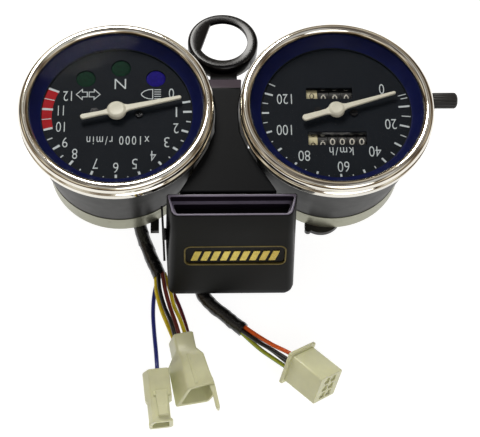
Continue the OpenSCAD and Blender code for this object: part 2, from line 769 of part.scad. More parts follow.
// Lamp hood with an open top, a step inside for the smoked window and an open bottom
module indicator_hood() {
    color([0.11, 0.11, 0.11]) difference() {
        hull() {
            hood_form(0, hood_low + 4, hood_top - 0.01, 3);
            hood_form(2.2, hood_low, hood_low + 4, 3);
            hood_form(0.7, hood_low + 1, hood_low + 4, 3);
        }
        hood_form(1.5, 54, hood_top + 1, 2);
        hood_form(3, 48, 55, 2);
        hood_form(4.2, 30, 50, 2);
        hood_form(2, 0, 46, 2);
        plate_slab(0.1, 4);
    }
}

module hood_window() {
    color([0.05, 0.03, 0.05, 0.8]) hood_form(3.1, 48.1, 49.6, 2);
}

// Board with three warning lamps facing the window
module warning_lamp_board() {
    board_z = 25;
    color("darkgreen") translate([-20, -55.4, board_z]) cube([42, 13.4, 1.6]);
    for (x = [-13, 1.4, 16]) translate([x, -47.8, board_z + 1.6]) {
        color([0.2, 0.2, 0.2]) cylinder(h = 8, r = 3.6);
        color("ivory") translate([0, 0, 8]) cylinder(h = 4, r = 2.4);
    }
}

// Places its children on the leaning front face, with +Z out of the face and +Y up it
module on_face() {
    translate([plate_x, hood_front(plate_z_mid), plate_z_mid]) rotate([90 - face_lean, 0, 0]) children();
}

module plate_outline(w, h, r) {
    union() {
        square([w - 2 * r, h], center = true);
        square([w, h - 2 * r], center = true);
        for (x = [-1, 1], y = [-1, 1]) translate([x * (w / 2 - r), y * (h / 2 - r)]) circle(r = r, $fn = 32);
    }
}

// The frame's outline moved out by grow, pushed out of the pocket's floor to the height given
module plate_slab(grow, height) {
    on_face() translate([0, 0, -pocket_d]) linear_extrude(height)
        plate_outline(frame_w + 2 * grow, frame_h + 2 * grow, 3 + grow);
}

module nameplate_frame() {
    color("gold") difference() {
        plate_slab(0, pocket_d + 0.1);
        plate_slab(-frame_wall, pocket_d + 1);
    }
}

module nameplate_face() {
    color([0.05, 0.05, 0.04]) plate_slab(-frame_wall - 0.1, 0.7);
}

// ---- Wiring ----

module harness_grommet() {
    color([0.08, 0.08, 0.08]) at_tach() translate([grommet_at[0], grommet_at[1], 0]) union() {
        translate([0, 0, cup_z - 1.4]) cylinder(h = 1.4, r = grommet_r + 1);
        translate([0, 0, cup_z - 1.4]) cylinder(h = 4, r = grommet_r);
        translate([0, 0, cup_z + 1]) cylinder(h = 1.6, r = grommet_r + 1);
    }
}

module tach_loom() { color([0.07, 0.07, 0.08]) tube(tach_loom_path, loom_d, 10, [1, 0, 0]); }

module tach_loom_wires() {
    color("yellow") tube(yellow_path, wire_d);
    color("brown") tube(brown_path, wire_d);
    color("black") tube(black_path, wire_d);
    color("khaki") tube(striped_path, wire_d);
    color("maroon") tube(maroon_path, wire_d);
}

module blue_wire() { color("navy") tube(blue_path, wire_d); }
module hood_loom() { color([0.07, 0.07, 0.08]) tube(hood_loom_path, loom_d, 10, [1, 0, 0]); }

module hood_loom_wires() {
    color("orangered") tube(orange_path, wire_d);
    color("yellowgreen") tube(green_path, wire_d);
    color("black") tube(dark_path, wire_d);
    color("black") tube(plain_path, wire_d);
}

nylon = [0.76, 0.75, 0.6];

// Single-way latched connector, its mouth at the far end
module single_connector() {
    body_l = 24.6;
    head_l = 13.5;
    foot_l = 1.2;
    head = [[-6.4, 0], [5, 0], [5.1, 8.6], [-4, 8.8], [-6.7, 5]];
    body = [[-5.8, 0], [3.6, 0], [3.6, 8.6], [-4, 8.8], [-5.9, 5]];
    foot = [[-6, 0], [4.5, 0], [4.5, 8.2], [-4, 8.8], [-6.1, 5]];
    mouth = [[-4.6, 1.3], [2.8, 1.3], [2.8, 7.4], [-3.3, 7.4], [-4.6, 4.7]];
    color(nylon) translate(single_at) rotate([0, 0, single_turn]) difference() {
        union() {
            rotate([90, 0, 0]) linear_extrude(head_l) polygon(head);
            rotate([90, 0, 0]) linear_extrude(body_l) polygon(body);
            translate([0, foot_l - body_l, 0]) rotate([90, 0, 0]) linear_extrude(foot_l) polygon(foot);
            translate([-1.8, -22.2, 8.5]) cube([4.8, 9.2, 1.6]);
            translate([-3, -13, 8.5]) cube([7.4, 2.6, 1]);
        }
        translate([0, -10, 0]) rotate([90, 0, 0]) linear_extrude(20) polygon(mouth);
    }
}

// Thin slice of the multi-way connector's hood, its right side moved out by widen
module multi_slice(y, widen) {
    right = 8 + widen;
    translate([0, y, 0]) rotate([90, 0, 0]) linear_extrude(0.1)
        polygon([[-8, 0.4], [right - 3.2, 0], [right, 4], [right, 12.4], [-2.2, 11.2]]);
}

// Multi-way connector: narrow neck, widening hood with a slanted mouth, and a long latch prong
module multi_connector() {
    body_l = 30;
    neck_l = 8;
    shoulder_l = 11.5;
    mouth_slant = 18.4;
    neck = [[-6.2, 1], [5, 1], [5, 11.2], [-4, 11.2]];
    mouth = [[-5.6, 1.8], [4, 1.4], [6.8, 4.6], [6.8, 10.9], [-1.2, 10]];
    color(nylon) translate(multi_at) rotate([0, 0, multi_turn]) union() {
        difference() {
            union() {
                rotate([90, 0, 0]) linear_extrude(neck_l + 4) polygon(neck);
                hull() {
                    translate([0, -neck_l, 0]) rotate([90, 0, 0]) linear_extrude(0.1) polygon(neck);
                    multi_slice(-shoulder_l, -0.4);
                }
                hull() {
                    multi_slice(-shoulder_l, -0.4);
                    multi_slice(-body_l, 1.8);
                }
            }
            translate([0, -shoulder_l - 4, 0]) rotate([90, 0, 0]) linear_extrude(20) polygon(mouth);
            translate([-10, -body_l, 0]) rotate([-mouth_slant, 0, 0]) translate([0, -20, -5]) cube([24, 20, 30]);
        }
        translate([8, -body_l - 7.6, 8.2]) cube([1.8, 15, 3]);
    }
}

// Places its children with +Y along the plug's length, +X across and +Z up its height
module on_plug() {
    multmatrix([
        for (i = [0 : 2]) [plug_axes[i][0], plug_axes[i][1], plug_axes[i][2], plug_at[i]]
    ]) children();
}

// Six-way connector with a flange at the wire end
module six_pin_connector() {
    cell = 3.1;
    color(nylon) on_plug() difference() {
        union() {
            translate([-plug_w / 2, -plug_l, -plug_h / 2]) cube([plug_w, plug_l, plug_h]);
            translate([-plug_w / 2 - plug_flange, -plug_l, -plug_h / 2 - plug_flange])
                cube([plug_w + 2 * plug_flange, 1.5, plug_h + 2 * plug_flange]);
        }
        for (i = [-0.5, 0.5], j = [-1, 0, 1])
            translate([i * (cell + 1) - cell / 2, -9, j * (cell + 1) - cell / 2]) cube([cell, 10, cell]);
    }
}

mounting_bracket();
isolators();
fixing_sleeves();
centre_cover();
key_ring();
hood_stay();
indicator_hood();
hood_window();
warning_lamp_board();
nameplate_frame();
nameplate_face();
glass_gaskets();
dial_screws();
tach_bezel();
tach_glass();
tach_reflector();
tach_dial();
tach_case();
tach_cup();
tach_union();
tach_movement();
tach_magnet_shaft();
tach_spindle();
tach_hairspring();
tach_needle();
tach_lenses();
tach_bulb_holders();
speedo_bezel();
speedo_glass();
speedo_reflector();
speedo_dial();
speedo_case();
speedo_cup();
speedo_union();
speedo_movement();
speedo_magnet_shaft();
speedo_worm();
speedo_spindle();
speedo_hairspring();
speedo_needle();
speedo_bulb_holders();
worm_wheel_shaft();
odometer_pawl();
odometer_axle();
odometer_tenths_drum();
odometer_upper_drums();
trip_idler_gear();
trip_tenths_drum();
trip_upper_drums();
trip_reset_shaft();
trip_reset_knob();
harness_grommet();
tach_loom();
tach_loom_wires();
blue_wire();
single_connector();
multi_connector();
hood_loom();
hood_loom_wires();
six_pin_connector();
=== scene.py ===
import math

import bmesh
import bpy
from mathutils import Matrix, Vector, noise


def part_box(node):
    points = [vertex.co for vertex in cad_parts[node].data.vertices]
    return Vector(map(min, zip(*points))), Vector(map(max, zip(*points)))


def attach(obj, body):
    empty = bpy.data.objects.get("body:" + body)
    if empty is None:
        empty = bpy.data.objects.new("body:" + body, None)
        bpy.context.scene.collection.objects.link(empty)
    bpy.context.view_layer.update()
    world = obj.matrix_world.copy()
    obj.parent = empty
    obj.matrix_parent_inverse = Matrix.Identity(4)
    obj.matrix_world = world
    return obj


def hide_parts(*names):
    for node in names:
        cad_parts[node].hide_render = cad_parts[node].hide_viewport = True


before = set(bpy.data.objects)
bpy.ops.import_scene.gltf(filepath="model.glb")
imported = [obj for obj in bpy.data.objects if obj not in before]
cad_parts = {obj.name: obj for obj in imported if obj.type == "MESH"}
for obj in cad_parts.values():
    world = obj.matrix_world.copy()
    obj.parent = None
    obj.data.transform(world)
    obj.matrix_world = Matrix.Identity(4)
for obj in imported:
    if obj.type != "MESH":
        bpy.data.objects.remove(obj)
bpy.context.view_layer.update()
MM = 0.001


# ---- Places taken from the frame, in millimetres ----

def corners(node):
    """Lowest and highest corner of a CAD node."""
    low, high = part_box(node)
    return low / MM, high / MM


def middle(node):
    low, high = corners(node)
    return (low + high) / 2


bezel_low, bezel_high = corners("tach_bezel")
LIP_Z = bezel_high.z
BEZEL_R = (bezel_high.x - bezel_low.x) / 2
SKIRT_Z = bezel_low.z
TACH = Matrix.Translation((middle("tach_bezel").x, 0, 0))
SPEEDO = Matrix.Translation((middle("speedo_bezel").x, 0, 0))
DIAL_TOP = corners("tach_dial")[1].z
PRINT_H = 0.06


def linked(name, data):
    """New object with its data, linked to the scene."""
    thing = bpy.data.objects.new(name, data)
    bpy.context.scene.collection.objects.link(thing)
    return thing


# ---- Materials ----

def srgb(r, g, b):
    """Linear colour from 0 to 255 screen values."""
    return [((c / 255 + 0.055) / 1.055) ** 2.4 if c > 10 else c / 255 / 12.92 for c in (r, g, b)]


def tint(colour, factor):
    return [min(1.0, c * factor) for c in colour]


def ramp(tree, source, stops):
    """Colour that follows a value through stops of (position, colour)."""
    node = tree.nodes.new("ShaderNodeValToRGB")
    elements = node.color_ramp.elements
    elements[0].position, elements[1].position = stops[0][0], stops[-1][0]
    elements[0].color, elements[1].color = (*stops[0][1], 1), (*stops[-1][1], 1)
    for position, colour in stops[1:-1]:
        elements.new(position).color = (*colour, 1)
    tree.links.new(source, node.inputs["Fac"])
    return node.outputs["Color"]


def cloud(tree, vector, scale, detail):
    """Noise read at a vector."""
    node = tree.nodes.new("ShaderNodeTexNoise")
    node.inputs["Scale"].default_value = scale
    node.inputs["Detail"].default_value = detail
    tree.links.new(vector, node.inputs["Vector"])
    return node.outputs["Fac"]


def look(name, colour, rough, metal=0.0, vary=0.15, grain=160, spread=0.06, bump=0.15, fine=1400,
         depth=0.00004, stretch=(1, 1, 1), coat=0.0, alpha=1.0, specular=0.5, worn=None, sub=0.0):
    """Principled material whose colour, roughness and height each follow their own noise."""
    material = bpy.data.materials.new(name)
    material.use_nodes = True
    tree = material.node_tree
    shader = tree.nodes["Principled BSDF"]
    where = tree.nodes.new("ShaderNodeTexCoord")
    mapping = tree.nodes.new("ShaderNodeMapping")
    mapping.inputs["Scale"].default_value = stretch
    tree.links.new(where.outputs["Object"], mapping.inputs["Vector"])

    def noise_at(scale, detail):
        return cloud(tree, mapping.outputs["Vector"], scale, detail)

    final = ramp(tree, noise_at(grain, 6), [(0.3, tint(colour, 1 - vary)), (0.7, tint(colour, 1 + vary))])
    if worn:
        spots = ramp(tree, noise_at(grain * 3.1, 9), [(0.56, (0, 0, 0)), (0.68, (1, 1, 1))])
        mix = tree.nodes.new("ShaderNodeMixRGB")
        mix.inputs["Color2"].default_value = worn + [1.0]
        tree.links.new(spots, mix.inputs["Fac"])
        tree.links.new(final, mix.inputs["Color1"])
        final = mix.outputs["Color"]
    tree.links.new(final, shader.inputs["Base Color"])
    height = noise_at(fine, 4)
    range_node = tree.nodes.new("ShaderNodeMapRange")
    range_node.inputs["To Min"].default_value = max(0.0, rough - spread)
    range_node.inputs["To Max"].default_value = min(1.0, rough + spread)
    tree.links.new(noise_at(grain * 1.7, 5), range_node.inputs["Value"])
    tree.links.new(range_node.outputs["Result"], shader.inputs["Roughness"])
    if bump:
        relief = tree.nodes.new("ShaderNodeBump")
        relief.inputs["Strength"].default_value = bump
        relief.inputs["Distance"].default_value = depth
        tree.links.new(height, relief.inputs["Height"])
        tree.links.new(relief.outputs["Normal"], shader.inputs["Normal"])
    shader.inputs["Metallic"].default_value = metal
    shader.inputs["Coat Weight"].default_value = coat
    shader.inputs["Coat Roughness"].default_value = 0.08
    shader.inputs["Specular IOR Level"].default_value = specular
    shader.inputs["Alpha"].default_value = alpha
    if sub:
        shader.inputs["Subsurface Weight"].default_value = sub
        shader.inputs["Subsurface Radius"].default_value = (0.004, 0.004, 0.002)
    return material


CHROME = look("chrome", srgb(228, 224, 214), 0.07, 1.0, vary=0.03, spread=0.03, bump=0.04, depth=0.00002)
GLASS = look("clear_glass", srgb(20, 24, 28), 0.04, alpha=0.05, spread=0.015, bump=0.0, specular=0.12)
DIAL = look("dial_black", srgb(20, 25, 32), 0.62, vary=0.08, grain=60, bump=0.2, fine=3000, specular=0.08)
NAVY = look("navy_ring", srgb(13, 20, 68), 0.4, vary=0.12, specular=0.1)
PRINT = look("print_white", srgb(196, 206, 212), 0.55, vary=0.05, bump=0.05)
PRINT_RED = look("print_red", srgb(166, 12, 24), 0.55, vary=0.06, bump=0.05, specular=0.1)
NEEDLE = look("needle_white", srgb(222, 221, 205), 0.42, vary=0.04, grain=900, bump=0.25, fine=2600)
CASE = look("case_black", srgb(20, 20, 19), 0.42, vary=0.16, grain=90, worn=srgb(30, 28, 25), specular=0.16)
ZINC = look("cup_zinc", srgb(158, 158, 140), 0.36, 0.75, vary=0.08, grain=50, worn=srgb(142, 142, 122))
STEEL = look("zinc_steel", srgb(182, 180, 172), 0.3, 1.0, vary=0.08, stretch=(1, 1, 6))
BRACKET = look("bracket_black", srgb(24, 23, 22), 0.42, 0.2, vary=0.2, grain=110, worn=srgb(46, 42, 38))
STAY = look("stay_black", srgb(18, 17, 20), 0.45, vary=0.2, worn=srgb(34, 30, 34), specular=0.3)
RUBBER = look("rubber", srgb(22, 22, 23), 0.72, vary=0.25, grain=240, bump=0.4, fine=2200)
SCREW = look("black_screw", srgb(20, 20, 22), 0.3, 0.7, vary=0.2)
BRASS = look("plated_brass", srgb(176, 160, 116), 0.32, 1.0, vary=0.14, worn=srgb(120, 96, 60))
DIECAST = look("diecast", srgb(150, 150, 150), 0.5, 0.9, vary=0.14, bump=0.4)
SPUN = look("spun_aluminium", srgb(205, 205, 205), 0.28, 1.0, vary=0.06, stretch=(1, 1, 8))
BRONZE = look("spring_bronze", srgb(186, 130, 74), 0.3, 1.0, vary=0.08)
ACETAL = look("acetal", srgb(226, 220, 200), 0.45, vary=0.05, sub=0.1)
DRUM = look("drum_black", srgb(14, 14, 15), 0.45, vary=0.15, grain=500)
CREAM = look("drum_cream", srgb(206, 198, 160), 0.5, vary=0.08, grain=500)
DIGIT_LIGHT = look("digit_light", srgb(214, 212, 202), 0.55, vary=0.05)
DIGIT_DARK = look("digit_dark", srgb(52, 42, 24), 0.55, vary=0.15)
COVER = look("cover_plastic", srgb(9, 11, 14), 0.42, vary=0.1, grain=70, bump=0.25, fine=2600, specular=0.08)
# Lighter purple-grey for the cover's sloped end: a painted highlight for the light that catches the bevel, on
# the same dark plastic.
BEVEL = look("cover_bevel_painted_highlight", srgb(62, 52, 62), 0.45, vary=0.12, grain=70, bump=0.25, fine=2600, specular=0.3)
# Dark purple for the hood's inner walls: a painted sheen on the same black plastic as the outside.
HOOD_INSIDE_SHEEN = look("hood_inside_painted_sheen", srgb(24, 17, 30), 0.5, vary=0.12, grain=70, specular=0.2)
# Lavender for the hood's rim and ledge: a painted highlight where light catches the upward faces.
HOOD_RIM_HIGHLIGHT = look("hood_rim_painted_highlight", srgb(104, 98, 118), 0.4, vary=0.12, grain=70)
HOOD = look("hood_plastic", srgb(8, 9, 8), 0.45, vary=0.12, grain=70, bump=0.25, fine=2400, specular=0.15)
GLOSS = look("gloss_black", srgb(5, 5, 7), 0.16, vary=0.2, spread=0.04, bump=0.05, specular=0.28)
PLATE = look("plate_black", srgb(6, 5, 5), 0.4, vary=0.2, bump=0.05, specular=0.15)
SMOKED = look("smoked_window", srgb(7, 4, 9), 0.08, alpha=0.9, vary=0.2, spread=0.03, bump=0.0)
BOARD = look("lamp_board", srgb(40, 80, 46), 0.5, vary=0.2)
GOLD = look("gold_foil", srgb(206, 186, 96), 0.3, 0.75, vary=0.14, grain=420, spread=0.1)
GOLD_EDGE = look("gold_edge", srgb(104, 92, 48), 0.38, 0.6, vary=0.25, grain=240)
KNOB = look("knob_plastic", srgb(24, 23, 22), 0.5, vary=0.2, grain=300)
TAPE = look("loom_tape", srgb(15, 15, 17), 0.26, vary=0.35, grain=260, spread=0.12, bump=0.5, fine=900,
            depth=0.0002, coat=0.3)
NYLON = look("nylon", srgb(212, 213, 176), 0.38, vary=0.07, grain=120, bump=0.12, fine=1200, sub=0.35,
             coat=0.1)
LENS_GREEN = look("lens_green", srgb(0, 40, 24), 0.5, vary=0.4, grain=700, bump=0.4, fine=1900, depth=0.00006,
                  specular=0.05)
LENS_BLUE = look("lens_blue", srgb(18, 4, 112), 0.5, vary=0.3, grain=700, bump=0.4, fine=1900, depth=0.00006,
                 specular=0.05)
FLOOR = look("floor", srgb(150, 150, 150), 0.9, vary=0.0, bump=0.0, specular=0.0)


def insulation(name, r, g, b):
    return look(name, srgb(r, g, b), 0.34, vary=0.12, grain=380, bump=0.2, coat=0.15)


# ---- Shapes ----

class Shape:
    """Points in millimetres, and faces with a material number, gathered into one piece."""

    def __init__(self):
        self.points = []
        self.faces = []
        self.kinds = []

    def add(self, points, faces, place=None, kind=0):
        start = len(self.points)
        self.points += [place @ Vector(p) if place else Vector(p) for p in points]
        self.faces += [[start + i for i in face] for face in faces]
        self.kinds += [kind] * len(faces)
        return self

    def lathe(self, profile, place=None, kind=0, steps=144):
        """Closed profile of (radius, height) turned round the vertical axis."""
        count = len(profile)
        points = [
            (r * math.cos(2 * math.pi * i / steps), r * math.sin(2 * math.pi * i / steps), z)
            for i in range(steps) for r, z in profile
        ]
        faces = [
            [i * count + j, (i + 1) % steps * count + j, (i + 1) % steps * count + (j + 1) % count,
             i * count + (j + 1) % count]
            for i in range(steps) for j in range(count)
        ]
        return self.add(points, faces, place, kind)

    def turned(self, profile, place=None, kind=0, steps=64):
        """Solid of revolution: the profile runs from the axis at the bottom to the axis at the top."""
        rings = profile[1:-1]
        count = len(rings)
        points = [
            (r * math.cos(2 * math.pi * i / steps), r * math.sin(2 * math.pi * i / steps), z)
            for i in range(steps) for r, z in rings
        ]
        bottom, top = len(points), len(points) + 1
        points += [(0, 0, profile[0][1]), (0, 0, profile[-1][1])]
        faces = []
        for i in range(steps):
            here, there = i * count, (i + 1) % steps * count
            faces += [[here + j, there + j, there + j + 1, here + j + 1] for j in range(count - 1)]
            faces += [[bottom, there, here], [top, here + count - 1, there + count - 1]]
        return self.add(points, faces, place, kind)

    def loft(self, rings, place=None, kind=0, closed=False):
        """Skin over rings of equal length; the ends are capped unless it closes on itself."""
        count = len(rings[0])
        points = [p for ring in rings for p in ring]
        spans = len(rings) if closed else len(rings) - 1
        faces = [
            [i * count + j, i * count + (j + 1) % count,
             (i + 1) % len(rings) * count + (j + 1) % count, (i + 1) % len(rings) * count + j]
            for i in range(spans) for j in range(count)
        ]
        if not closed:
            last = (len(rings) - 1) * count
            faces += [list(range(count))[::-1], [last + j for j in range(count)]]
        return self.add(points, faces, place, kind)

    def block(self, low, high, place):
        ring = [(low[0], low[1]), (high[0], low[1]), (high[0], high[1]), (low[0], high[1])]
        return self.loft([[(x, y, z) for x, y in ring] for z in (low[2], high[2])], place)

    def slab(self, loops, low, high, place=None, kind=0, bevel=0.0):
        """Flat outline with holes, filled and given height, its edges rounded by bevel."""
        curve = bpy.data.curves.new("outline", "CURVE")
        curve.dimensions = "2D"
        curve.fill_mode = "BOTH"
        curve.extrude = (high - low) / 2 - bevel
        curve.bevel_depth = bevel
        curve.offset = -bevel
        curve.bevel_resolution = 2
        for loop in loops:
            spline = curve.splines.new("POLY")
            spline.points.add(len(loop) - 1)
            for point, (x, y) in zip(spline.points, loop):
                point.co = (x, y, 0, 1)
            spline.use_cyclic_u = True
        lift = Matrix.Translation((0, 0, (low + high) / 2))
        return self.take(curve, (place or Matrix()) @ lift, kind)

    def take(self, curve, place, kind=0):
        """Adds a curve or text, as a mesh, and removes it."""
        holder = linked("holder", curve)
        bpy.context.view_layer.update()
        mesh = bpy.data.meshes.new_from_object(holder.evaluated_get(bpy.context.evaluated_depsgraph_get()))
        self.add([v.co for v in mesh.vertices], [list(p.vertices) for p in mesh.polygons], place, kind)
        bpy.data.objects.remove(holder)
        bpy.data.meshes.remove(mesh)
        return self

    def words(self, text, width, height, place, weight=0.0, space=1.0):
        """Lettering scaled to its width and height about its middle, standing on its place."""
        curve = bpy.data.curves.new("words", "FONT")
        curve.body = text
        curve.extrude = 0.5
        curve.offset = weight
        curve.space_character = space
        curve.resolution_u = 4
        start = len(self.points)
        self.take(curve, Matrix())
        new = self.points[start:]
        low = [min(p[i] for p in new) for i in range(3)]
        high = [max(p[i] for p in new) for i in range(3)]
        for i, p in enumerate(new):
            flat = Vector((
                ((p.x - low[0]) / (high[0] - low[0]) - 0.5) * width,
                ((p.y - low[1]) / (high[1] - low[1]) - 0.5) * height,
                (p.z + 0.5) * PRINT_H,
            ))
            self.points[start + i] = place @ flat
        return self

    def make(self, name, materials, body="root", slot=None, replaces=(), crease=35):
        """Becomes a Blender piece that rides on its body."""
        mesh = bpy.data.meshes.new(name)
        mesh.from_pydata([p * MM for p in self.points], [], self.faces)
        for polygon, kind in zip(mesh.polygons, self.kinds):
            polygon.material_index = kind
        piece = linked(name, mesh)
        face_outwards(mesh)
        mesh.shade_smooth()
        mesh.set_sharp_from_angle(angle=math.radians(crease))
        return dress(piece, materials, body, replaces)


def face_outwards(mesh):
    """Turns all faces of the mesh outwards."""
    work = bmesh.new()
    work.from_mesh(mesh)
    bmesh.ops.recalc_face_normals(work, faces=work.faces)
    work.to_mesh(mesh)
    work.free()


def dress(piece, materials, body="root", replaces=()):
    for material in materials if isinstance(materials, list) else [materials]:
        piece.data.materials.append(material)
    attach(piece, body)
    if replaces:
        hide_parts(*replaces)
    return piece


def soften(piece, width, steps, angle):
    """Rounds the piece's sharp edges."""
    bevel = piece.modifiers.new("edges", "BEVEL")
    bevel.width = width * MM
    bevel.segments = steps
    bevel.limit_method = "ANGLE"
    bevel.angle_limit = math.radians(angle)
    bevel.harden_normals = False
    return piece


def arc(x, y, radius, start, stop, steps=8):
    """Points of an arc between two angles in degrees."""
    turns = [math.radians(start + (stop - start) * i / steps) for i in range(steps + 1)]
    return [(x + radius * math.cos(t), y + radius * math.sin(t)) for t in turns]


def circle(radius, steps=144, x=0.0, y=0.0, back=False):
    points = arc(x, y, radius, 0, 360, steps)[:-1]
    return points[::-1] if back else points


def rectangle(x, y, width, height, radius=0.0, back=False):
    """Rectangle about a middle, with rounded corners if radius is given."""
    w, h = width / 2 - radius, height / 2 - radius
    if radius:
        points = (arc(x + w, y + h, radius, 0, 90, 5) + arc(x - w, y + h, radius, 90, 180, 5)
                  + arc(x - w, y - h, radius, 180, 270, 5) + arc(x + w, y - h, radius, 270, 360, 5))
    else:
        points = [(x + w, y + h), (x - w, y + h), (x - w, y - h), (x + w, y - h)]
    return points[::-1] if back else points


def rounded(outline, radius, steps=4):
    """Outline with each corner cut back and curved."""
    made = []
    for i, corner in enumerate(outline):
        corner = Vector(corner)
        before = Vector(outline[i - 1]) - corner
        after = Vector(outline[(i + 1) % len(outline)]) - corner
        reach = min(radius, before.length / 2.1, after.length / 2.1)
        a, b = corner + before.normalized() * reach, corner + after.normalized() * reach
        for k in range(steps + 1):
            t = k / steps
            made.append(tuple(a * (1 - t) ** 2 + corner * 2 * t * (1 - t) + b * t ** 2))
    return made


def turned_about_z(angle, x=0.0, y=0.0, z=0.0):
    """Place at a point, turned about Z by an angle in degrees."""
    return Matrix.Translation((x, y, z)) @ Matrix.Rotation(math.radians(angle), 4, "Z")


# ---- Camera ----

CAMERA_AZIMUTH, CAMERA_ELEVATION, CAMERA_ROLL = -4.206, 62.666, 3.34
CAMERA_LENS = 108.36
CAMERA_AIM = (4.384, -56.122, LIP_Z)
CAMERA_RANGE = 600


def make_camera():
    """Camera a little left of the middle, high over the hood."""
    azimuth, elevation, roll = (math.radians(a) for a in (CAMERA_AZIMUTH, CAMERA_ELEVATION, CAMERA_ROLL))
    level = Vector((math.sin(azimuth), -math.cos(azimuth), 0))
    back = level * math.cos(elevation) + Vector((0, 0, math.sin(elevation)))
    side = Vector((math.cos(azimuth), math.sin(azimuth), 0))
    up = back.cross(side)
    right = side * math.cos(roll) + up * math.sin(roll)
    top = up * math.cos(roll) - side * math.sin(roll)
    data = bpy.data.cameras.new("camera")
    data.sensor_width = 36
    data.lens = CAMERA_LENS
    data.clip_start, data.clip_end = 0.01, 20
    camera = linked("camera", data)
    turn = Matrix((right, top, back)).transposed().to_4x4()
    camera.matrix_world = Matrix.Translation((Vector(CAMERA_AIM) + back * CAMERA_RANGE) * MM) @ turn
    bpy.context.scene.camera = camera


make_camera()


# ---- Cords ----

WIRE_D = 1.9
LOOM_D = 6.5
TACH_LOOM = [(-40, -20, 14), (-40, -20.8, 10), (-39.9, -23.1, 6.5), (-39.6, -26.5, 4.3),
             (-38.6, -31, 3.4), (-36.3, -38, 3.4), (-33.3, -46, 3.4), (-30.2, -53, 3.4)]
HOOD_LOOM = [(-12, -48, 25), (-12, -48, 18), (-12, -50, 11), (-12, -55, 5.4), (-11.4, -61, 3.6),
             (-8, -66.5, 3.5), (-2, -72, 3.5), (3, -76.5, 3.5), (7, -80, 3.7)]
TACH_WIRES = {
    "blue": [(-31, -52.6, 1.5), (-32.8, -61, 1.1), (-33.3, -70, 1.1), (-32.8, -79, 1.3), (-32, -88, 2.4),
             (-31.4, -96, 4.2), (-31.2, -100.6, 4.6)],
    "yellow": [(-32.1, -53.2, 3.5), (-31.6, -61, 3), (-29.6, -69, 2.6), (-26.8, -77, 3.8),
               (-23.8, -85.4, 5.8)],
    "black": [(-31, -52.6, 5.2), (-30.2, -61, 5.6), (-28.2, -69, 6.2), (-25.4, -77, 8), (-23.2, -85.4, 9.4)],
    "brown": [(-29.1, -51.9, 5.2), (-27.8, -60.4, 4.9), (-25.8, -68.6, 5), (-23.4, -76.6, 6.4),
              (-21.2, -85, 7.8)],
    "striped": [(-28.2, -51.6, 3.5), (-25.6, -60, 3.3), (-23.8, -68, 3.6), (-20.9, -76, 6.2),
                (-18.6, -84.4, 8.8)],
    "maroon": [(-29, -51.8, 1.3), (-25.2, -58.4, 1), (-21.6, -67, 1.3), (-19, -76, 3.4), (-17.2, -84.2, 5.4)],
}
HOOD_WIRES = {
    "orange": [(7.2, -78.7, 4.8), (12.9, -84, 7), (19.2, -89.8, 10.4), (24.8, -94, 13.1),
               (30.8, -98.3, 14.8)],
    "green": [(5.8, -80.3, 2.6), (13.4, -88.6, 4), (19.1, -94.2, 6.3), (28, -102.4, 9.9)],
    "dark": [(5.8, -80.3, 4.8), (13.2, -86.9, 6.8), (19.5, -92.3, 10), (28.8, -100.5, 13.8)],
    "plain": [(7.2, -78.7, 2.6), (14.2, -86.2, 4.4), (19.9, -91.9, 7.6), (28.5, -101.4, 11.7)],
}
WIRE_COLOURS = {
    "blue": (insulation("wire_blue", 22, 34, 132), None),
    "yellow": (insulation("wire_yellow", 240, 214, 26), None),
    "black": (insulation("wire_black", 18, 18, 20), None),
    "brown": (insulation("wire_brown", 120, 44, 34), None),
    "striped": (insulation("wire_lemon", 238, 216, 48), insulation("stripe_white", 226, 224, 208)),
    "maroon": (insulation("wire_maroon", 92, 22, 40), None),
    "orange": (insulation("wire_orange", 236, 96, 22), None),
    "green": (insulation("wire_green", 168, 178, 44), insulation("stripe_green", 40, 96, 52)),
    "dark": (insulation("wire_dark", 16, 17, 20), None),
    "plain": (insulation("wire_plain", 22, 22, 24), None),
}


def smooth_route(points, steps):
    """Curve through given points, with steps points between each two."""
    p = [Vector(q) for q in points]
    p = [p[0] * 2 - p[1]] + p + [p[-1] * 2 - p[-2]]
    route = []
    for i in range(1, len(p) - 2):
        a, b, c, d = p[i - 1:i + 3]
        for k in range(steps):
            t = k / steps
            route.append(0.5 * (2 * b + (c - a) * t + (2 * a - 5 * b + 4 * c - d) * t ** 2
                                + (3 * b - a - 3 * c + d) * t ** 3))
    return route + [p[-2]]


def route_length(route):
    return sum((b - a).length for a, b in zip(route, route[1:]))


def swept(route, radius_at, sides):
    """Rings of points round a route, carried along it without twist."""
    rings = []
    side = None
    for i, point in enumerate(route):
        ahead = (route[min(i + 1, len(route) - 1)] - route[max(i - 1, 0)]).normalized()
        if side is None:
            side = ahead.cross(Vector((0.3, 0.9, 0.3))).normalized()
        side = (side - ahead * side.dot(ahead)).normalized()
        other = ahead.cross(side)
        rings.append([
            point + (side * math.cos(2 * math.pi * k / sides) + other * math.sin(2 * math.pi * k / sides))
            * radius_at(i, k / sides) for k in range(sides)
        ])
    return rings


def make_wire(name, points, materials, far_end, replaces=(), with_pieces=(), slot="wire_pvc"):
    """One insulated wire; the second material is a stripe along it."""
    sides = 16
    route = smooth_route(points, 30 // (len(points) - 1))
    shape = Shape().loft(swept(route, lambda i, t: WIRE_D / 2, sides))
    for face in range(len(shape.kinds) - 2):
        shape.kinds[face] = 1 if materials[1] and face % sides in (2, 3, 4, 10, 11, 12) else 0
    piece = shape.make(name, [m for m in materials if m], slot=slot, replaces=replaces, crease=60)
    return piece


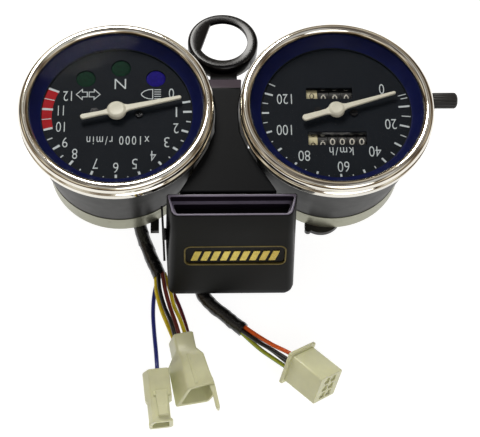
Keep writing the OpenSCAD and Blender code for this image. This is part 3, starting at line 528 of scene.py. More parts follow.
def make_loom(name, points, replaces):
    """Taped loom: overlapping spiral turns of tape with creases."""
    route = smooth_route(points, 12)
    sides = 28
    turn_mm, ridge, crease_h, crease_turns = 9.0, 0.22, 0.2, 1.6

    def radius(i, t):
        along = route_length(route[:i + 1])
        lap = (along / turn_mm + t) % 1.0
        around = Vector((0, math.cos(2 * math.pi * t), math.sin(2 * math.pi * t))) * crease_turns
        crumple = noise.noise(Vector((along * 0.5, around.y, around.z)))
        return LOOM_D / 2 - ridge + ridge * lap ** 3 + crease_h * crumple

    shape = Shape().loft(swept(route, radius, sides))
    piece = shape.make(name, TAPE, slot="loom_tape", replaces=replaces, crease=50)
    return piece


# ---- Connectors ----

def along_minus_y(x, y, angle):
    """Place whose +Z runs along the local -Y of a connector turned about Z."""
    return turned_about_z(angle, x, y) @ Matrix.Rotation(math.radians(90), 4, "X")


def stacked(stages, radius):
    """Rings for a loft: each stage is an outline, its corners rounded, and its height."""
    return [[(x, y, z) for x, y in rounded(outline, radius)] for outline, z in stages]


def make_single():
    """Single-way connector: chamfered head, narrower body, raised T latch and a flared foot."""
    place = along_minus_y(-31.2, -99.6, 6)
    head = [(-6.4, 0), (5, 0), (5.1, 8.6), (-4, 8.8), (-6.7, 5)]
    head_in = [(-6, 0.4), (4.6, 0.4), (4.7, 8.2), (-3.8, 8.4), (-6.2, 4.9)]
    body = [(-5.8, 0), (3.6, 0), (3.6, 8.5), (-4, 8.7), (-5.9, 5)]
    foot = [(-6, 0), (4.5, 0), (4.5, 7.9), (-4, 8.8), (-6.1, 5)]
    mouth = [(-4.6, 1.3), (2.8, 1.3), (2.8, 7.4), (-3.3, 7.4), (-4.6, 4.7)]
    shape = Shape().loft(stacked([
        (head_in, 0), (head, 0.45), (head, 12.9), (body, 13.7), (body, 22.8), (foot, 23.6), (foot, 24.3),
        (body, 24.6), (mouth, 24.6), (mouth, 11)], 0.8), place)
    flat = place @ Matrix.Rotation(math.radians(-90), 4, "X")
    stem = [(-1.9, -10.5), (-1.6, -22.2), (2.9, -22.2), (3.3, -10.5)]
    crossbar = [(-3, -10.4), (-3, -12.8), (4.2, -12.8), (4.2, -10.4)]
    pad = [(-1.4, -17.6), (-1.2, -22), (2.6, -22), (2.7, -17.6)]
    for outline, corner, low, high, bevel in ((stem, 0.5, 8.0, 9.9, 0.3), (crossbar, 0.5, 8.0, 9.4, 0.25),
                                              (pad, 0.4, 9.4, 10.1, 0.2)):
        shape.slab([rounded(outline, corner)], low, high, flat, bevel=bevel)
    return shape.make("single_way_connector", NYLON, slot="nylon", replaces=["single_connector"])


def make_multi():
    """Multi-way connector: narrow neck, widening hood with a slanted mouth, a ridge and a long prong."""
    place = along_minus_y(-20.4, -84, 10.4)
    mouth_z, slant = 30, math.tan(math.radians(18.4))

    def hood(right, inset=0.0):
        side = right - inset
        return [(-8.6 + 2.4 * inset, 0.4 + inset), (right - 3.2 - 0.4 * inset, inset),
                (side, 4 + 0.4 * inset), (side, 12.4 - inset), (-2.2 + 1.2 * inset, 11.2 - inset)]

    def neck(inset=0.0):
        side, top = 5 - inset, 11.2 - inset
        return [(-6.2 + inset, 1 + inset), (4.2 - inset, 1 + inset), (side, 2.4), (side, top),
                (-3.8 + inset, top)]

    rings = stacked([
        (neck(0.4), 0), (neck(), 0.45), (neck(), 7.6), (neck(-0.2), 8.2), (hood(7.4), 11.3),
        (hood(7.6), 11.9), (hood(8.6), 20)], 1.1)
    for right, inset, back in ((9.6, 0, 0.5), (9.5, 0.15, 0.1), (9.5, 0.35, 0), (9.5, 0.9, 0),
                               (9.5, 1.15, 0.25), (8.6, 1.2, 12.5)):
        outline = rounded(hood(right, inset), 1.1)
        rings.append([(x, y, mouth_z - back - slant * y) for x, y in outline])
    shape = Shape().loft(rings, place)

    def ridge(m):
        return [(m - 0.8, 10.6), (m + 0.8, 10.6), (m + 0.5, 12.3), (m - 0.5, 12.1)]

    def prong(left, right):
        return [(left, 8.4), (right, 8.4), (right, 11), (left, 11)]

    shape.loft(stacked([(ridge(0.7), 10.6), (ridge(0.8), 11.6), (ridge(1.9), 24.6)], 0.3), place)
    shape.loft(stacked([
        (prong(7, 9.4), 23), (prong(7.3, 9.75), 27), (prong(8, 9.8), 31), (prong(8.1, 9.9), 35.6),
        (prong(8.3, 9.8), 37), (prong(8.7, 9.4), 37.6)], 0.5), place)
    return shape.make("multi_way_connector", NYLON, slot="nylon", replaces=["multi_connector"])


def make_six_pin():
    """Six-way connector: two rows of three cells, a flange at the wire end and edge beads."""
    width, length, height, cell, flange = 14.2, 19.0, 13.9, 3.0, 1.4
    place = Matrix((
        (0.693, 0.678, 0.245, 42.3), (0.519, -0.705, 0.483, -111.8), (-0.5, 0.208, 0.84, 15.6),
        (0, 0, 0, 1)))
    face = place @ Matrix.Rotation(math.radians(-90), 4, "X")
    pitch = cell + 1.1
    middles = [(i * pitch, j * pitch) for i in (-0.5, 0.5) for j in (-1, 0, 1)]
    cells = [rectangle(x, y, cell, cell, 0.5, back=True) for x, y in middles]
    shape = Shape()
    shape.slab([rectangle(0, 0, width, height, 0.9), *cells], -length + 1.2, 0, face, bevel=0.3)
    for x, y in middles:
        shape.slab([rectangle(x, y, cell - 0.9, cell - 0.9, 0.3)], -length + 1, -0.7, face, bevel=0.15)
    plate = rectangle(0, 0, width + 2 * flange, height + 2 * flange, 0.8)
    shape.slab([plate], -length, -length + 1.5, face, bevel=0.35)
    return shape.make("six_way_connector", NYLON, slot="nylon", replaces=["six_pin_connector"])


single = make_single()
multi = make_multi()
six_pin = make_six_pin()
make_loom("tach_taped_loom", TACH_LOOM, ["tach_loom"])
make_loom("hood_taped_loom", HOOD_LOOM, ["hood_loom"])
WIRE_ENDS = {
    "blue": dict(replaces=["blue_wire"], with_pieces=[single], slot="wire_blue"),
    "yellow": dict(replaces=["tach_loom_wires"], with_pieces=[multi]),
    "orange": dict(replaces=["hood_loom_wires"], with_pieces=[six_pin]),
}
for colour, points in {**TACH_WIRES, **HOOD_WIRES}.items():
    far_end = "connector" if colour in WIRE_ENDS else "object"
    make_wire("wire_" + colour, points, WIRE_COLOURS[colour], far_end, **WIRE_ENDS.get(colour, {}))


# ---- Gauges ----

LENSES = {"lens_turn": (-13.9, 17.8, LENS_GREEN), "lens_neutral": (1.5, 23.2, LENS_GREEN),
          "lens_beam": (16.9, 17.8, LENS_BLUE)}
ODOMETER_Y, TRIP_Y = -13.25, 9.75
MARK_R = 32.9


def make_bezel(name, place):
    """Chrome ring: rolled lip over the glass, a groove under it and a skirt turned in at its foot."""
    lip = arc(BEZEL_R - 2.5, LIP_Z - 2.5, 2.5, 154, -52, 26)
    skirt = [(BEZEL_R - inset, SKIRT_Z + rise) for inset, rise in (
        (0.95, 3.6), (0.75, 3.35), (0.25, 3.15), (0, 2.85), (0, 0.7), (0.12, 0.28), (0.45, 0.04), (1.35, 0),
        (1.38, 0.3), (0.8, 0.62), (0.8, 2.9), (1.5, 3.7), (1.25, 4.9), (1.28, 6.82), (4.4, 6.82))]
    shape = Shape().lathe(lip + skirt, place, steps=192)
    return shape.make(name + "_bezel_ring", CHROME, slot="chrome", replaces=[name + "_bezel"])


def make_reflector(name, place):
    """Navy cone from the dial up to the glass, with a black step at the dial."""
    cone = [(33.1, 0.75), (33.6, 0.95), (34.9, 2.25), (36.2, 3.55), (37.4, 4.95), (37.9, 4.98), (37.9, 4),
            (34.2, 0.1), (33.1, 0.1)]
    step = [(32.7, 0.02), (32.7, 0.55), (32.85, 0.78), (33.15, 0.8), (33.15, 0.02)]
    on_dial = place @ Matrix.Translation((0, 0, DIAL_TOP))
    shape = Shape().lathe(cone, on_dial, 0, 192).lathe(step, on_dial, 1, 192)
    return shape.make(name + "_reflector_cone", [NAVY, DIAL], slot="navy_ring",
                      replaces=[name + "_reflector"])


def make_dial(name, place, screw, holes):
    loops = [circle(36.5), circle(2.2, 48, back=True)]
    loops += [circle(1.1, 24, side * screw[0], side * screw[1], back=True) for side in (-1, 1)]
    piece = Shape().slab(loops + holes, DIAL_TOP - 0.8, DIAL_TOP, place, bevel=0.08)
    return piece.make(name + "_dial_plate", DIAL, slot="dial_black", replaces=[name + "_dial"])


def bar(shape, angle, low, width, place, high=MARK_R):
    """Printed mark from one radius to another, a little thicker than what it crosses."""
    at = place @ turned_about_z(angle, z=DIAL_TOP)
    shape.block((low, -width / 2, 0), (high, width / 2, PRINT_H + 0.02), at)


def reading(x, y, turn=180):
    """Place on the dial's face whose text reads from the rider's side."""
    return turned_about_z(turn, x, y, DIAL_TOP)


def numerals(shape, places, height, place):
    """Scale numbers, each at its own place on the dial, with a narrow 1 and a wide 4."""
    widths = {"1": 1.0, "4": 2.5}
    for text, (x, y) in places.items():
        width = sum(widths.get(c, 2.25) for c in text) + 0.55 * (len(text) - 1)
        shape.words(text, 0.6 if text == "1" else width, height, place @ reading(x, y), weight=-0.01)


def stroke(shape, path, width, place, closed=True):
    """Line of even width along a path, mitred at its corners."""
    path = [Vector(p) for p in path]
    rings = []
    for i, p in enumerate(path):
        before = path[i - 1] if closed or i else p - (path[1] - p)
        after = path[(i + 1) % len(path)] if closed or i < len(path) - 1 else p + (p - path[i - 1])
        a, b = (p - before).normalized(), (after - p).normalized()
        middle_way = (a + b).normalized() if (a + b).length > 0.01 else a
        normal = Vector((-middle_way.y, middle_way.x))
        reach = width / 2 / max(0.4, normal.dot(Vector((-a.y, a.x))))
        left, right = p + normal * reach, p - normal * reach
        rings.append([(q.x, q.y, z) for q, z in ((left, 0), (right, 0), (right, PRINT_H), (left, PRINT_H))])
    shape.loft(rings, place, closed=closed)


# Marks as (degrees on the dial, radius where the mark starts), as measured. They came out of a
# measuring script.
TACH_TICKS = [
    (10.2, 29.1), (0.8, 28.9), (-17.6, 29.6), (-35.5, 30.1), (-53.2, 30.6), (-71.5, 30.9), (-89.8, 30.8),
    (-108.9, 30.6), (-127.6, 30.1), (-146.3, 29.2), (-165.0, 28.7), (-183.9, 27.9), (-203.1, 27.7)]
SPEEDO_TENS = [
    (16.2, 28.9), (5.1, 27.8), (-13.9, 28.4), (-32.6, 29.2), (-51.5, 29.9), (-70.4, 30.8), (-89, 31.1),
    (-107.5, 31.2), (-125.9, 31.3), (-143.5, 30.6), (-161.4, 30.1), (-179.4, 29.5), (-197.6, 28.9)]
SPEEDO_FIVES = [
    (12.8, 29.6), (-4.4, 28.8), (-23.3, 29.9), (-42, 30.5), (-61, 31.3), (-79.7, 31.9), (-98.3, 32.1),
    (-116.7, 32.1), (-134.7, 31.9), (-152.5, 31.8), (-170.4, 30.7), (-188.5, 30.1), (-207, 29.6)]


def tach_print():
    """Marks 0 to 12 with a shorter one between each pair from 1 on, and a red zone from mark 10 to 12."""
    shape = Shape()
    red_from, red_to = TACH_TICKS[10][0], TACH_TICKS[12][0]
    inner = arc(0, 0, 28.5, red_from, red_to, 24)
    inner = [(x * (1 - 0.025 * i / 24), y * (1 - 0.025 * i / 24)) for i, (x, y) in enumerate(inner)]
    shape.slab([arc(0, 0, 33.0, red_to, red_from, 24) + inner], DIAL_TOP, DIAL_TOP + 0.05, TACH, 1)
    for angle, low in TACH_TICKS:
        bar(shape, angle, low, 1.0, TACH)
    for (a, low_a), (b, low_b) in zip(TACH_TICKS[1:], TACH_TICKS[2:]):
        red = a <= red_from
        bar(shape, (a + b) / 2, (low_a + low_b) / 2 + (0.3 if red else 1.3), 0.35 if red else 0.5, TACH, 32.8)
    places = {"12": (-21.7, 8.8), "11": (-24.4, 1.4), "10": (-24.3, -6.9), "9": (-22.1, -14.7),
              "8": (-17.7, -20.4), "7": (-8.8, -25.3), "6": (0, -27.4), "5": (8.1, -25.5), "4": (16, -21.7),
              "3": (21.8, -14.9), "2": (25.8, -7.9), "1": (26, 0.4), "0": (23.8, 10)}
    numerals(shape, places, 5.0, TACH)
    shape.words("N", 5.0, 5.2, TACH @ reading(1.3, 15), weight=-0.012)
    shape.words("x1000 r/min", 27.0, 4.3, TACH @ reading(0.7, -13.9), weight=-0.005, space=1.3)
    head = [(5.2, 0), (2.6, 2.6), (2.6, 1.25), (0.4, 1.25), (0.4, -1.25), (2.6, -1.25), (2.6, -2.6)]
    for side in (-1, 1):
        stroke(shape, [(side * x, y) for x, y in head], 0.36, TACH @ reading(-12.7, 9.6, 0))
    upper = [(0.7, 2.5), (-1.2, 2.35), (-2.9, 1.65), (-4, 0.7)]
    lamp = [*upper, (-4.3, 0), *[(x, -y) for x, y in reversed(upper)]]
    stroke(shape, lamp, 0.38, TACH @ reading(14.9, 9.6, 0))
    for y in (-2.3, -1.15, 0, 1.15, 2.3):
        stroke(shape, [(1.4, y), (4.3, y)], 0.34, TACH @ reading(14.9, 9.6, 0), closed=False)
    return shape.make("tach_print", [PRINT, PRINT_RED], slot="dial_black", crease=30)


def speedo_print():
    """Marks at every ten, the first of them thin, and a thin mark after each."""
    shape = Shape()
    for angle, low in SPEEDO_TENS:
        bar(shape, angle, low, 0.35 if angle > 10 else 0.85, SPEEDO)
    for angle, low in SPEEDO_FIVES:
        bar(shape, angle, low, 0.4, SPEEDO)
    places = {"0": (20.8, 11.8), "20": (23.7, -6.3), "40": (15.9, -20), "60": (1.8, -27.5),
              "80": (-14.9, -22), "100": (-23.1, -9), "120": (-22.5, 6.8)}
    numerals(shape, places, 5.1, SPEEDO)
    shape.words("km/h", 10.4, 4.0, SPEEDO @ reading(1.3, -19.8), weight=-0.004, space=1.2)
    return shape.make("speedo_print", PRINT, slot="dial_black", crease=30)


def make_lenses():
    """Three textured lamp windows let into the tachometer's dial."""
    dish = [(r, -0.42 - 0.05 * (r / 4.2) ** 2) for r in (4.1, 3.6, 3.0, 2.4, 1.8, 1.2, 0.6)]
    profile = [(0, -2.7), (4.8, -2.7), (4.8, -0.9), (4.24, -0.85), (4.24, -0.55), *dish, (0, -0.42)]
    for name, (x, y, material) in LENSES.items():
        shape = Shape().turned(profile, TACH @ Matrix.Translation((x, y, DIAL_TOP)), steps=60)
        replaced = ["tach_lenses"] if name == "lens_turn" else []
        shape.make(name, material, slot="lamp_lens", replaces=replaced)


def pointer_outline(tip, tail, hub, root_w, tip_w, tail_w):
    """Outline of an arm and tail that flare into the hub, their ends round."""
    flare = hub * 0.86
    upper = [(hub * 0.5, flare), (hub * 0.96, root_w * 0.72), (hub * 1.3, root_w * 0.54),
             (hub * 1.9, root_w * 0.5)]
    upper += arc(tip - tip_w / 2, 0, tip_w / 2, 80, 0, 5)
    back = [(-hub * 1.9, tail_w * 0.42), (-hub * 1.3, tail_w * 0.44), (-hub * 0.96, tail_w * 0.58),
            (-hub * 0.5, flare)]
    back = arc(-tail + tail_w * 0.42, 0, tail_w / 2, 180, 100, 5) + back
    top = back + upper
    return [(x, -y) for x, y in top[1:-1]] + top[::-1]


def make_needle(name, tip, tail, hub, root_w, tip_w, tail_w, rest, place, body):
    """Moulded pointer: flat arm and tail, and a hub with a sloped rim round a flat cap."""
    at = place @ turned_about_z(rest, z=DIAL_TOP + 1.2)
    outline = pointer_outline(tip, tail, hub, root_w, tip_w, tail_w)
    shape = Shape().slab([outline], 0.8, 1.95, at, bevel=0.32)
    rim = [(hub - inset, rise) for inset, rise in (
        (0.25, 0), (0, 0.25), (0, 1.75), (0.18, 2.02), (0.75, 2.42), (1.05, 2.56), (1.35, 2.6), (1.6, 2.54))]
    shape.turned([(0, 0), *rim, (0, 2.56)], at, steps=72)
    return shape.make(name, NEEDLE, body, "needle_white", [name.replace("pointer", "needle")], crease=40)


for gauge, place in (("tach", TACH), ("speedo", SPEEDO)):
    make_bezel(gauge, place)
    make_reflector(gauge, place)
LENS_HOLES = [circle(4.3, 60, x, y, back=True) for x, y, _ in LENSES.values()]
WINDOWS = [rectangle(x, y, width, height, 0.25, back=True) for x, y, width, height in (
    (-0.02, ODOMETER_Y, 25.5, 6.7), (-2.57, TRIP_Y, 20.4, 5.7))]
make_dial("tach", TACH, (9.7, -0.7), LENS_HOLES)
make_dial("speedo", SPEEDO, (7.8, -0.6), WINDOWS)
tach_print()
speedo_print()
make_lenses()
make_needle("tach_pointer", 28.9, 15.9, 4.2, 2.7, 1.7, 2.5, 13, TACH, "tach_pointer")
make_needle("speedo_pointer", 27.8, 15.6, 3.6, 2.4, 1.45, 3.1, 17.6, SPEEDO, "speedo_pointer")


# ---- Counter digits ----

DRUM_R = 5.0
DRUM_Z = DIAL_TOP - 6.6


DIGIT_H = 2.9


def drum_digits(name, body, slot, drums, y, width, material):
    """Ten digits round each drum; drums are pairs of the drum's middle and the shift of its row."""
    shape = Shape()
    for x, shift in drums:
        for digit in range(10):
            start = len(shape.points)
            shape.words(str(digit), width * (0.45 if digit == 1 else 1), DIGIT_H, Matrix())
            for i in range(start, len(shape.points)):
                u, v, h = shape.points[i]
                turn = (shift - v) / DRUM_R + math.radians(36) * digit
                radius = DRUM_R + h - 0.02
                around = Vector((x - u, y + radius * math.sin(turn), DRUM_Z + radius * math.cos(turn)))
                shape.points[i] = SPEEDO @ around
    return shape.make(name, material, body, slot, crease=30)


def drum_middle(number, pitch):
    """Middle of a drum, counted from the tenths drum."""
    return -12.65 + pitch * (number + 0.5) - 0.12


for counter, y, pitch, width, tenths_shift, shifts in (
        ("odometer", ODOMETER_Y, 4.25, 2.3, -2.6, [-2.2] + [-0.85] * 4),
        ("trip", TRIP_Y, 5.1, 2.2, -0.5, [-1.5] * 3)):
    drum_digits(counter + "_tenths_digits", counter + "_tenths", "drum_cream",
                [(drum_middle(0, pitch), tenths_shift)], y, width, DIGIT_DARK)
    drum_digits(counter + "_digits", counter + "_upper", "drum_black",
                [(drum_middle(i + 1, pitch), shift) for i, shift in enumerate(shifts)], y, width, DIGIT_LIGHT)


# ---- Reset knob ----

def make_knob():
    """Fluted knob along X with a plain collar and a chamfered end."""
    sides, flutes = 128, 16
    rings = []
    for x, radius, rib in ((0, 3.2, 0), (0.25, 3.5, 0), (2.5, 3.5, 0), (2.8, 3.35, 0), (3.0, 3.2, 0.1),
                           (3.3, 3.2, 0.36), (12.7, 3.2, 0.36), (13.2, 3.05, 0.25), (13.6, 2.75, 0.12),
                           (13.85, 2.5, 0), (14, 2.1, 0)):
        ring = []
        for k in range(sides):
            turn = 2 * math.pi * k / sides
            wave = min(1.0, max(0.0, 0.5 + 1.1 * math.cos(flutes * turn)))
            r = radius + rib * wave
            ring.append((x, r * math.cos(turn), r * math.sin(turn)))
        rings.append(ring)
    shape = Shape().loft(rings, SPEEDO @ Matrix.Translation((41.2, TRIP_Y, DRUM_Z)))
    return shape.make("reset_knob", KNOB, "trip_reset", "knob_plastic", ["trip_reset_knob"], crease=50)


make_knob()


# ---- Centre cover and key ring ----

COVER_LOW, COVER_TOP = (corner.z for corner in corners("centre_cover"))
COVER_BACK, COVER_FRONT = 19.2, -39
BEVEL_FROM, BEVEL_SLOPE = 13, math.tan(math.radians(22))
GAUGE_ROOM_R = 42.9


def between(table, y):
    """Straight-line reading of a table of (y, value) whose y falls."""
    for (y0, a), (y1, b) in zip(table, table[1:]):
        if y0 >= y >= y1:
            return a + (b - a) * (y0 - y) / (y0 - y1)
    return table[-1][1]


def make_cover():
    """Shell between the gauges: waisted, bevelled down at its key-ring end and open below."""
    left = [(COVER_BACK, 7.9), (-9, 5.4), (-18.3, 9), (COVER_FRONT, 20.8)]
    right = [(COVER_BACK, 6.9), *left[1:]]

    def section(y, inset=0.0):
        room = SPEEDO.translation.x - math.sqrt(GAUGE_ROOM_R ** 2 - y * y) - inset
        a, b = (min(between(side, y) - inset, room) for side in (left, right))
        return -a, b, COVER_TOP - max(0.0, y - BEVEL_FROM) * BEVEL_SLOPE - inset

    def ring(y):
        a, b, top = section(y)
        c, d, inner = section(y, 1.8)
        return [(a, y, COVER_LOW), (a, y, top), (b, y, top), (b, y, COVER_LOW),
                (d, y, COVER_LOW), (d, y, inner), (c, y, inner), (c, y, COVER_LOW)]

    stations = [COVER_BACK, 16, BEVEL_FROM] + [12 - 1.5 * i for i in range(34)] + [COVER_FRONT]
    shape = Shape().loft([ring(y) for y in stations])
    for ends in ((COVER_BACK - 0.02, COVER_BACK - 1.8), (COVER_FRONT + 0.02, COVER_FRONT + 1.8)):
        rings = []
        for y in ends:
            a, b, top = section(y, 0.9)
            rings.append([(a, y, COVER_LOW + 0.02), (a, y, top), (b, y, top), (b, y, COVER_LOW + 0.02)])
        shape.loft(rings)
    # The sloped top faces at the key-ring end take the lighter material, a painted highlight on the bevel.
    painted_highlight_faces = (1, 9)
    for i in painted_highlight_faces:
        shape.kinds[i] = 1
    piece = shape.make("cover_shell", [COVER, BEVEL], slot="cover_plastic", replaces=["centre_cover"],
                       crease=30)
    return soften(piece, 0.5, 3, 20)


def make_key_ring():
    """Ring with a D-shaped hole, a rounded rim and an open skirt, on a short neck."""
    steps = 180
    flat_at, flat_r, hole_r, ring_r = 163, 8.1, 11.05, 15.8
    skirt_top, skirt_run, skirt_slope = -2.1, 5.9, 0.153

    def hole(grow, z):
        ring = []
        for k in range(steps):
            angle = 360 * k / steps
            facing = math.cos(math.radians(angle - flat_at))
            r = min(hole_r + grow, (flat_r + grow) / facing) if facing > 0.1 else hole_r + grow
            ring.append((r * math.cos(math.radians(angle)), r * math.sin(math.radians(angle)), z))
        return ring

    def round_ring(r, z):
        return [(x, y, z) for x, y in circle(r, steps)]

    def skirt(inset, z):
        """Ring of the skirt, whose foot rises towards the far side."""
        return [(x, y, skirt_top + (z - skirt_top) * (1 - (y + ring_r) * skirt_slope / skirt_run))
                for x, y in circle(ring_r - inset, steps)]

    rim = [(ring_r - 1.9, 0)] + arc(ring_r - 1.6, -1.6, 1.6, 90, 0, 8)
    rings = [hole(0, -1.8), hole(0, -0.35), hole(0.1, -0.1), hole(0.4, 0)]
    rings += [round_ring(r, z) for r, z in rim]
    rings += [skirt(inset, z) for inset, z in ((0, -7.6), (0.15, -7.9), (0.4, -8), (1.5, -8), (1.75, -7.8),
                                               (1.8, -7.5), (1.8, skirt_top))]
    rings += [round_ring(ring_r - 2.1, -1.8)]
    place = Matrix.Translation((-1.1, 38.1, COVER_TOP)) @ Matrix.Rotation(math.radians(-4.5), 4, "X")
    shape = Shape().loft(rings, place, closed=True)
    neck = [(19.25, 45), (19.25, 53.5), (19.6, 53.9), (23.2, 55.3), (23.4, 55.1), (23.4, 53), (21.8, 46)]
    shape.loft([[(x, y, z) for y, z in neck] for x in (-7, 5)])
    return shape.make("key_ring_moulding", GLOSS, slot="gloss_black", replaces=["key_ring"], crease=32)


make_cover()
make_key_ring()


# ---- Indicator hood ----

HOOD_LOW = corners("indicator_hood")[0].z
HOOD_MID, HOOD_BACK, HOOD_FRONT, HOOD_RAKE = 1.6, -40.0, -50.8, 14.0
HOOD_RISE = 50.6
PLATE_X, PLATE_Z = 3.15, 33.5
FACE_LEAN = math.degrees(math.atan(HOOD_RAKE / HOOD_RISE))


def hood_front(z):
    return HOOD_FRONT - HOOD_RAKE * (COVER_TOP - z) / HOOD_RISE


def hood_ring(inset, z, corner, right=0.0):
    """Outline of the hood at one height: straight back, two rounded front corners."""
    lean = (COVER_TOP - z) / HOOD_RISE
    front, back = 25.6 + 2.4 * lean - inset, 28.0 + 1.2 * lean - inset
    y0, y1 = hood_front(z) + inset, HOOD_BACK - inset
    outline = [(HOOD_MID - back, y1), (HOOD_MID - front, y0), (HOOD_MID + front - right, y0),
               (HOOD_MID + back - right, y1)]
    ring = []
    for i, radius in enumerate((0.8, corner, corner, 0.8)):
        here = Vector(outline[i])
        before = (Vector(outline[i - 1]) - here).normalized()
        after = (Vector(outline[(i + 1) % 4]) - here).normalized()
        half = before.angle(after) / 2
        reach = radius / math.tan(half)
        centre = here + (before + after).normalized() * (radius / math.sin(half))
        start, stop = here + before * reach - centre, here + after * reach - centre
        sweep = math.pi - 2 * half
        for k in range(9):
            t = k / 8
            spoke = (start * math.sin((1 - t) * sweep) + stop * math.sin(t * sweep)) / math.sin(sweep)
            point = centre + spoke
            ring.append((point.x, point.y, z))
    return ring


def hood_face():
    """Place on the leaning front face at the nameplate's middle, +Z out of the face."""
    turn = Matrix.Rotation(math.radians(90 - FACE_LEAN), 4, "X")
    return Matrix.Translation((PLATE_X, hood_front(PLATE_Z), PLATE_Z)) @ turn


def make_hood():
    """Lamp hood: leaning front, stepped inside below its open rim, hollow to its open bottom."""
    low, top = HOOD_LOW, COVER_TOP
    outside = [(1.7, low, 3, 2.2), (0.9, low + 0.3, 3, 1.7), (0.4, low + 0.9, 3, 1.1), (0.1, low + 2, 3, 0.5),
               (0, low + 4, 3), (0, top - 12, 3), (0, top - 0.55, 3), (0.12, top - 0.18, 3)]
    rim = [(0.4, top, 3), (1.05, top, 2.4), (1.35, top - 0.15, 2.2), (1.5, top - 0.5, 2), (1.5, top - 4, 2),
           (1.65, top - 4.3, 2), (2.85, top - 4.3, 2)]
    inside = [(3, top - 4.6, 2), (3, top - 9.9, 2), (4.2, top - 10, 2), (4.2, top - 12, 2),
              (2, top - 12.1, 2), (2, low + 4, 2), (2.1, low + 1.4, 2, 2.2), (2.5, low + 0.2, 2, 2.2)]
    rings = [hood_ring(*stage) for stage in outside + rim + inside]
    shape = Shape().loft(rings, closed=True)
    # The rim top and inner ledge take the painted highlight, and the inner walls take the painted purple
    # sheen.
    rim_highlight_levels, inside_sheen_levels = (8, 9, 12, 13), range(10, 18)
    for i in range(len(shape.kinds)):
        level = i // len(rings[0])
        shape.kinds[i] = 2 if level in rim_highlight_levels else 1 if level in inside_sheen_levels else 0
    piece = shape.make("hood_shell", [HOOD, HOOD_INSIDE_SHEEN, HOOD_RIM_HIGHLIGHT], slot="hood_plastic",
                       replaces=["indicator_hood"], crease=30)
    cutter = Shape().slab([rectangle(0, 0, 44.8, 12.6, 3.1)], -1.45, 3, hood_face()).make("cutter", HOOD)
    cut = piece.modifiers.new("pocket", "BOOLEAN")
    cut.operation, cut.object, cut.solver = "DIFFERENCE", cutter, "EXACT"
    bpy.context.view_layer.update()
    carved = bpy.data.meshes.new_from_object(piece.evaluated_get(bpy.context.evaluated_depsgraph_get()))
    piece.modifiers.clear()
    piece.data = carved
    carved.set_sharp_from_angle(angle=math.radians(30))
    bpy.data.objects.remove(cutter)
    return piece


def make_nameplate():
    """Gold rim round a black face with plain slanted gold bars in place of any mark."""
    at = hood_face()
    rim = [rectangle(0, 0, 44.6, 12.4, 3), rectangle(0, 0, 43.2, 11, 2.3, True)]
    Shape().slab(rim, -1.4, 0.1, at, bevel=0.2).make("nameplate_rim", GOLD_EDGE, slot="gold_trim",
                                                    replaces=["nameplate_frame"])
    face = Shape().slab([rectangle(0, 0, 43, 10.8, 2.2)], -1.4, -0.7, at, bevel=0.1)
    face.make("nameplate_back", PLATE, slot="gloss_black", replaces=["nameplate_face"])
    bars = Shape()
    count, pitch, half, slant = 9, 4.25, 1.45, 1
    for i in range(count):
        x = pitch * (i - (count - 1) / 2)
        outline = [(x - half - slant, -3.5), (x + half - slant, -3.5), (x + half + slant, 2.5),
                   (x - half + slant, 2.5)]
        bars.slab([rounded(outline, 0.3)], -0.75, -0.3, at, bevel=0.14)
    bars.make("nameplate_bars", GOLD, slot="gold_trim")


make_hood()
make_nameplate()


# ---- Finishes of the CAD nodes that stay ----

def finish_node(name, material):
    """Gives a CAD node its finish and even shading."""
    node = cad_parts[name]
    node.data.materials.clear()
    node.data.materials.append(material)
    weld = node.modifiers.new("weld", "WELD")
    weld.merge_threshold = 0.000004
    node.modifiers.new("shading", "WEIGHTED_NORMAL").keep_sharp = True


finishes = {
    GLASS: ["tach_glass", "speedo_glass"],
    CASE: ["tach_case", "speedo_case"],
    ZINC: ["tach_cup", "speedo_cup"],
    BRASS: ["tach_union", "speedo_union"],
    DIECAST: ["tach_movement", "speedo_movement"],
    STEEL: ["fixing_sleeves", "tach_magnet_shaft", "speedo_magnet_shaft", "trip_reset_shaft", "odometer_axle",
            "odometer_pawl"],
    SPUN: ["tach_spindle", "speedo_spindle"],
    BRONZE: ["tach_hairspring", "speedo_hairspring", "speedo_worm"],
    ACETAL: ["worm_wheel_shaft", "trip_idler_gear"],
    CREAM: ["odometer_tenths_drum", "trip_tenths_drum"],
    DRUM: ["odometer_upper_drums", "trip_upper_drums"],
    BRACKET: ["mounting_bracket"],
    STAY: ["hood_stay"],
    RUBBER: ["isolators", "glass_gaskets", "harness_grommet", "tach_bulb_holders", "speedo_bulb_holders"],
    SCREW: ["dial_screws"],
    SMOKED: ["hood_window"],
    BOARD: ["warning_lamp_board"],
}
for material, names in finishes.items():
    for name in names:
        finish_node(name, material)


# ---- Floor and light ----

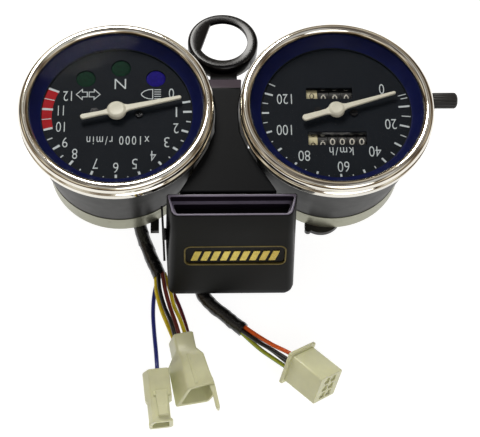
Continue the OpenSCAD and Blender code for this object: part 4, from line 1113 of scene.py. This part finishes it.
def make_floor():
    """Pale floor just under the object, lit a little from within."""
    size, low, top = 3000, -2.0, -0.02
    shape = Shape().block((-size, -size, low), (size, size, top), Matrix())
    mesh = bpy.data.meshes.new("floor")
    mesh.from_pydata([p * MM for p in shape.points], [], shape.faces)
    mesh.materials.append(FLOOR)
    shader = FLOOR.node_tree.nodes["Principled BSDF"]
    shader.inputs["Emission Color"].default_value = (1, 1, 1, 1)
    shader.inputs["Emission Strength"].default_value = 0.9
    floor = linked("floor", mesh)


def area_light(name, place, aim, size, power, colour=(1, 1, 1)):
    light = bpy.data.lights.new(name, "AREA")
    light.shape = "DISK"
    light.size = size
    light.energy = power
    light.color = colour
    lamp = linked(name, light)
    lamp.location = place
    lamp.rotation_euler = (Vector(place) - Vector(aim)).to_track_quat("Z", "Y").to_euler()


def make_world():
    """Room light from above with dark brown and cream patches, which the chrome mirrors."""
    world = bpy.data.worlds.new("studio")
    world.use_nodes = True
    tree = world.node_tree
    where = tree.nodes.new("ShaderNodeTexCoord")
    split = tree.nodes.new("ShaderNodeSeparateXYZ")
    tree.links.new(where.outputs["Generated"], split.inputs["Vector"])

    height = ramp(tree, split.outputs["Z"], [
        (0.0, (0.5, 0.48, 0.44)), (0.06, (0.14, 0.11, 0.08)), (0.34, (0.3, 0.24, 0.18)),
        (0.5, (0.72, 0.68, 0.58)), (0.75, (0.62, 0.63, 0.66)), (1.0, (0.5, 0.53, 0.6))])
    patches = ramp(tree, cloud(tree, where.outputs["Generated"], 2.6, 3), [
        (0.4, (0.1, 0.07, 0.05)), (0.48, (0.55, 0.46, 0.36)), (0.56, (1.25, 1.2, 1.08)),
        (0.66, (1.45, 1.42, 1.35))])
    mix = tree.nodes.new("ShaderNodeMixRGB")
    mix.blend_type = "MULTIPLY"
    mix.inputs["Fac"].default_value = 1.0
    tree.links.new(height, mix.inputs["Color1"])
    tree.links.new(patches, mix.inputs["Color2"])
    tree.links.new(mix.outputs["Color"], tree.nodes["Background"].inputs["Color"])
    tree.nodes["Background"].inputs["Strength"].default_value = 0.85
    bpy.context.scene.world = world


make_floor()
make_world()
area_light("key", (-0.2, 0.72, 0.78), (0, -0.03, 0), 0.42, 8.0, (1, 0.98, 0.94))
area_light("fill", (0.25, -0.75, 0.8), (0, -0.05, 0), 0.7, 2.2)
bpy.context.scene.view_settings.view_transform = "Standard"
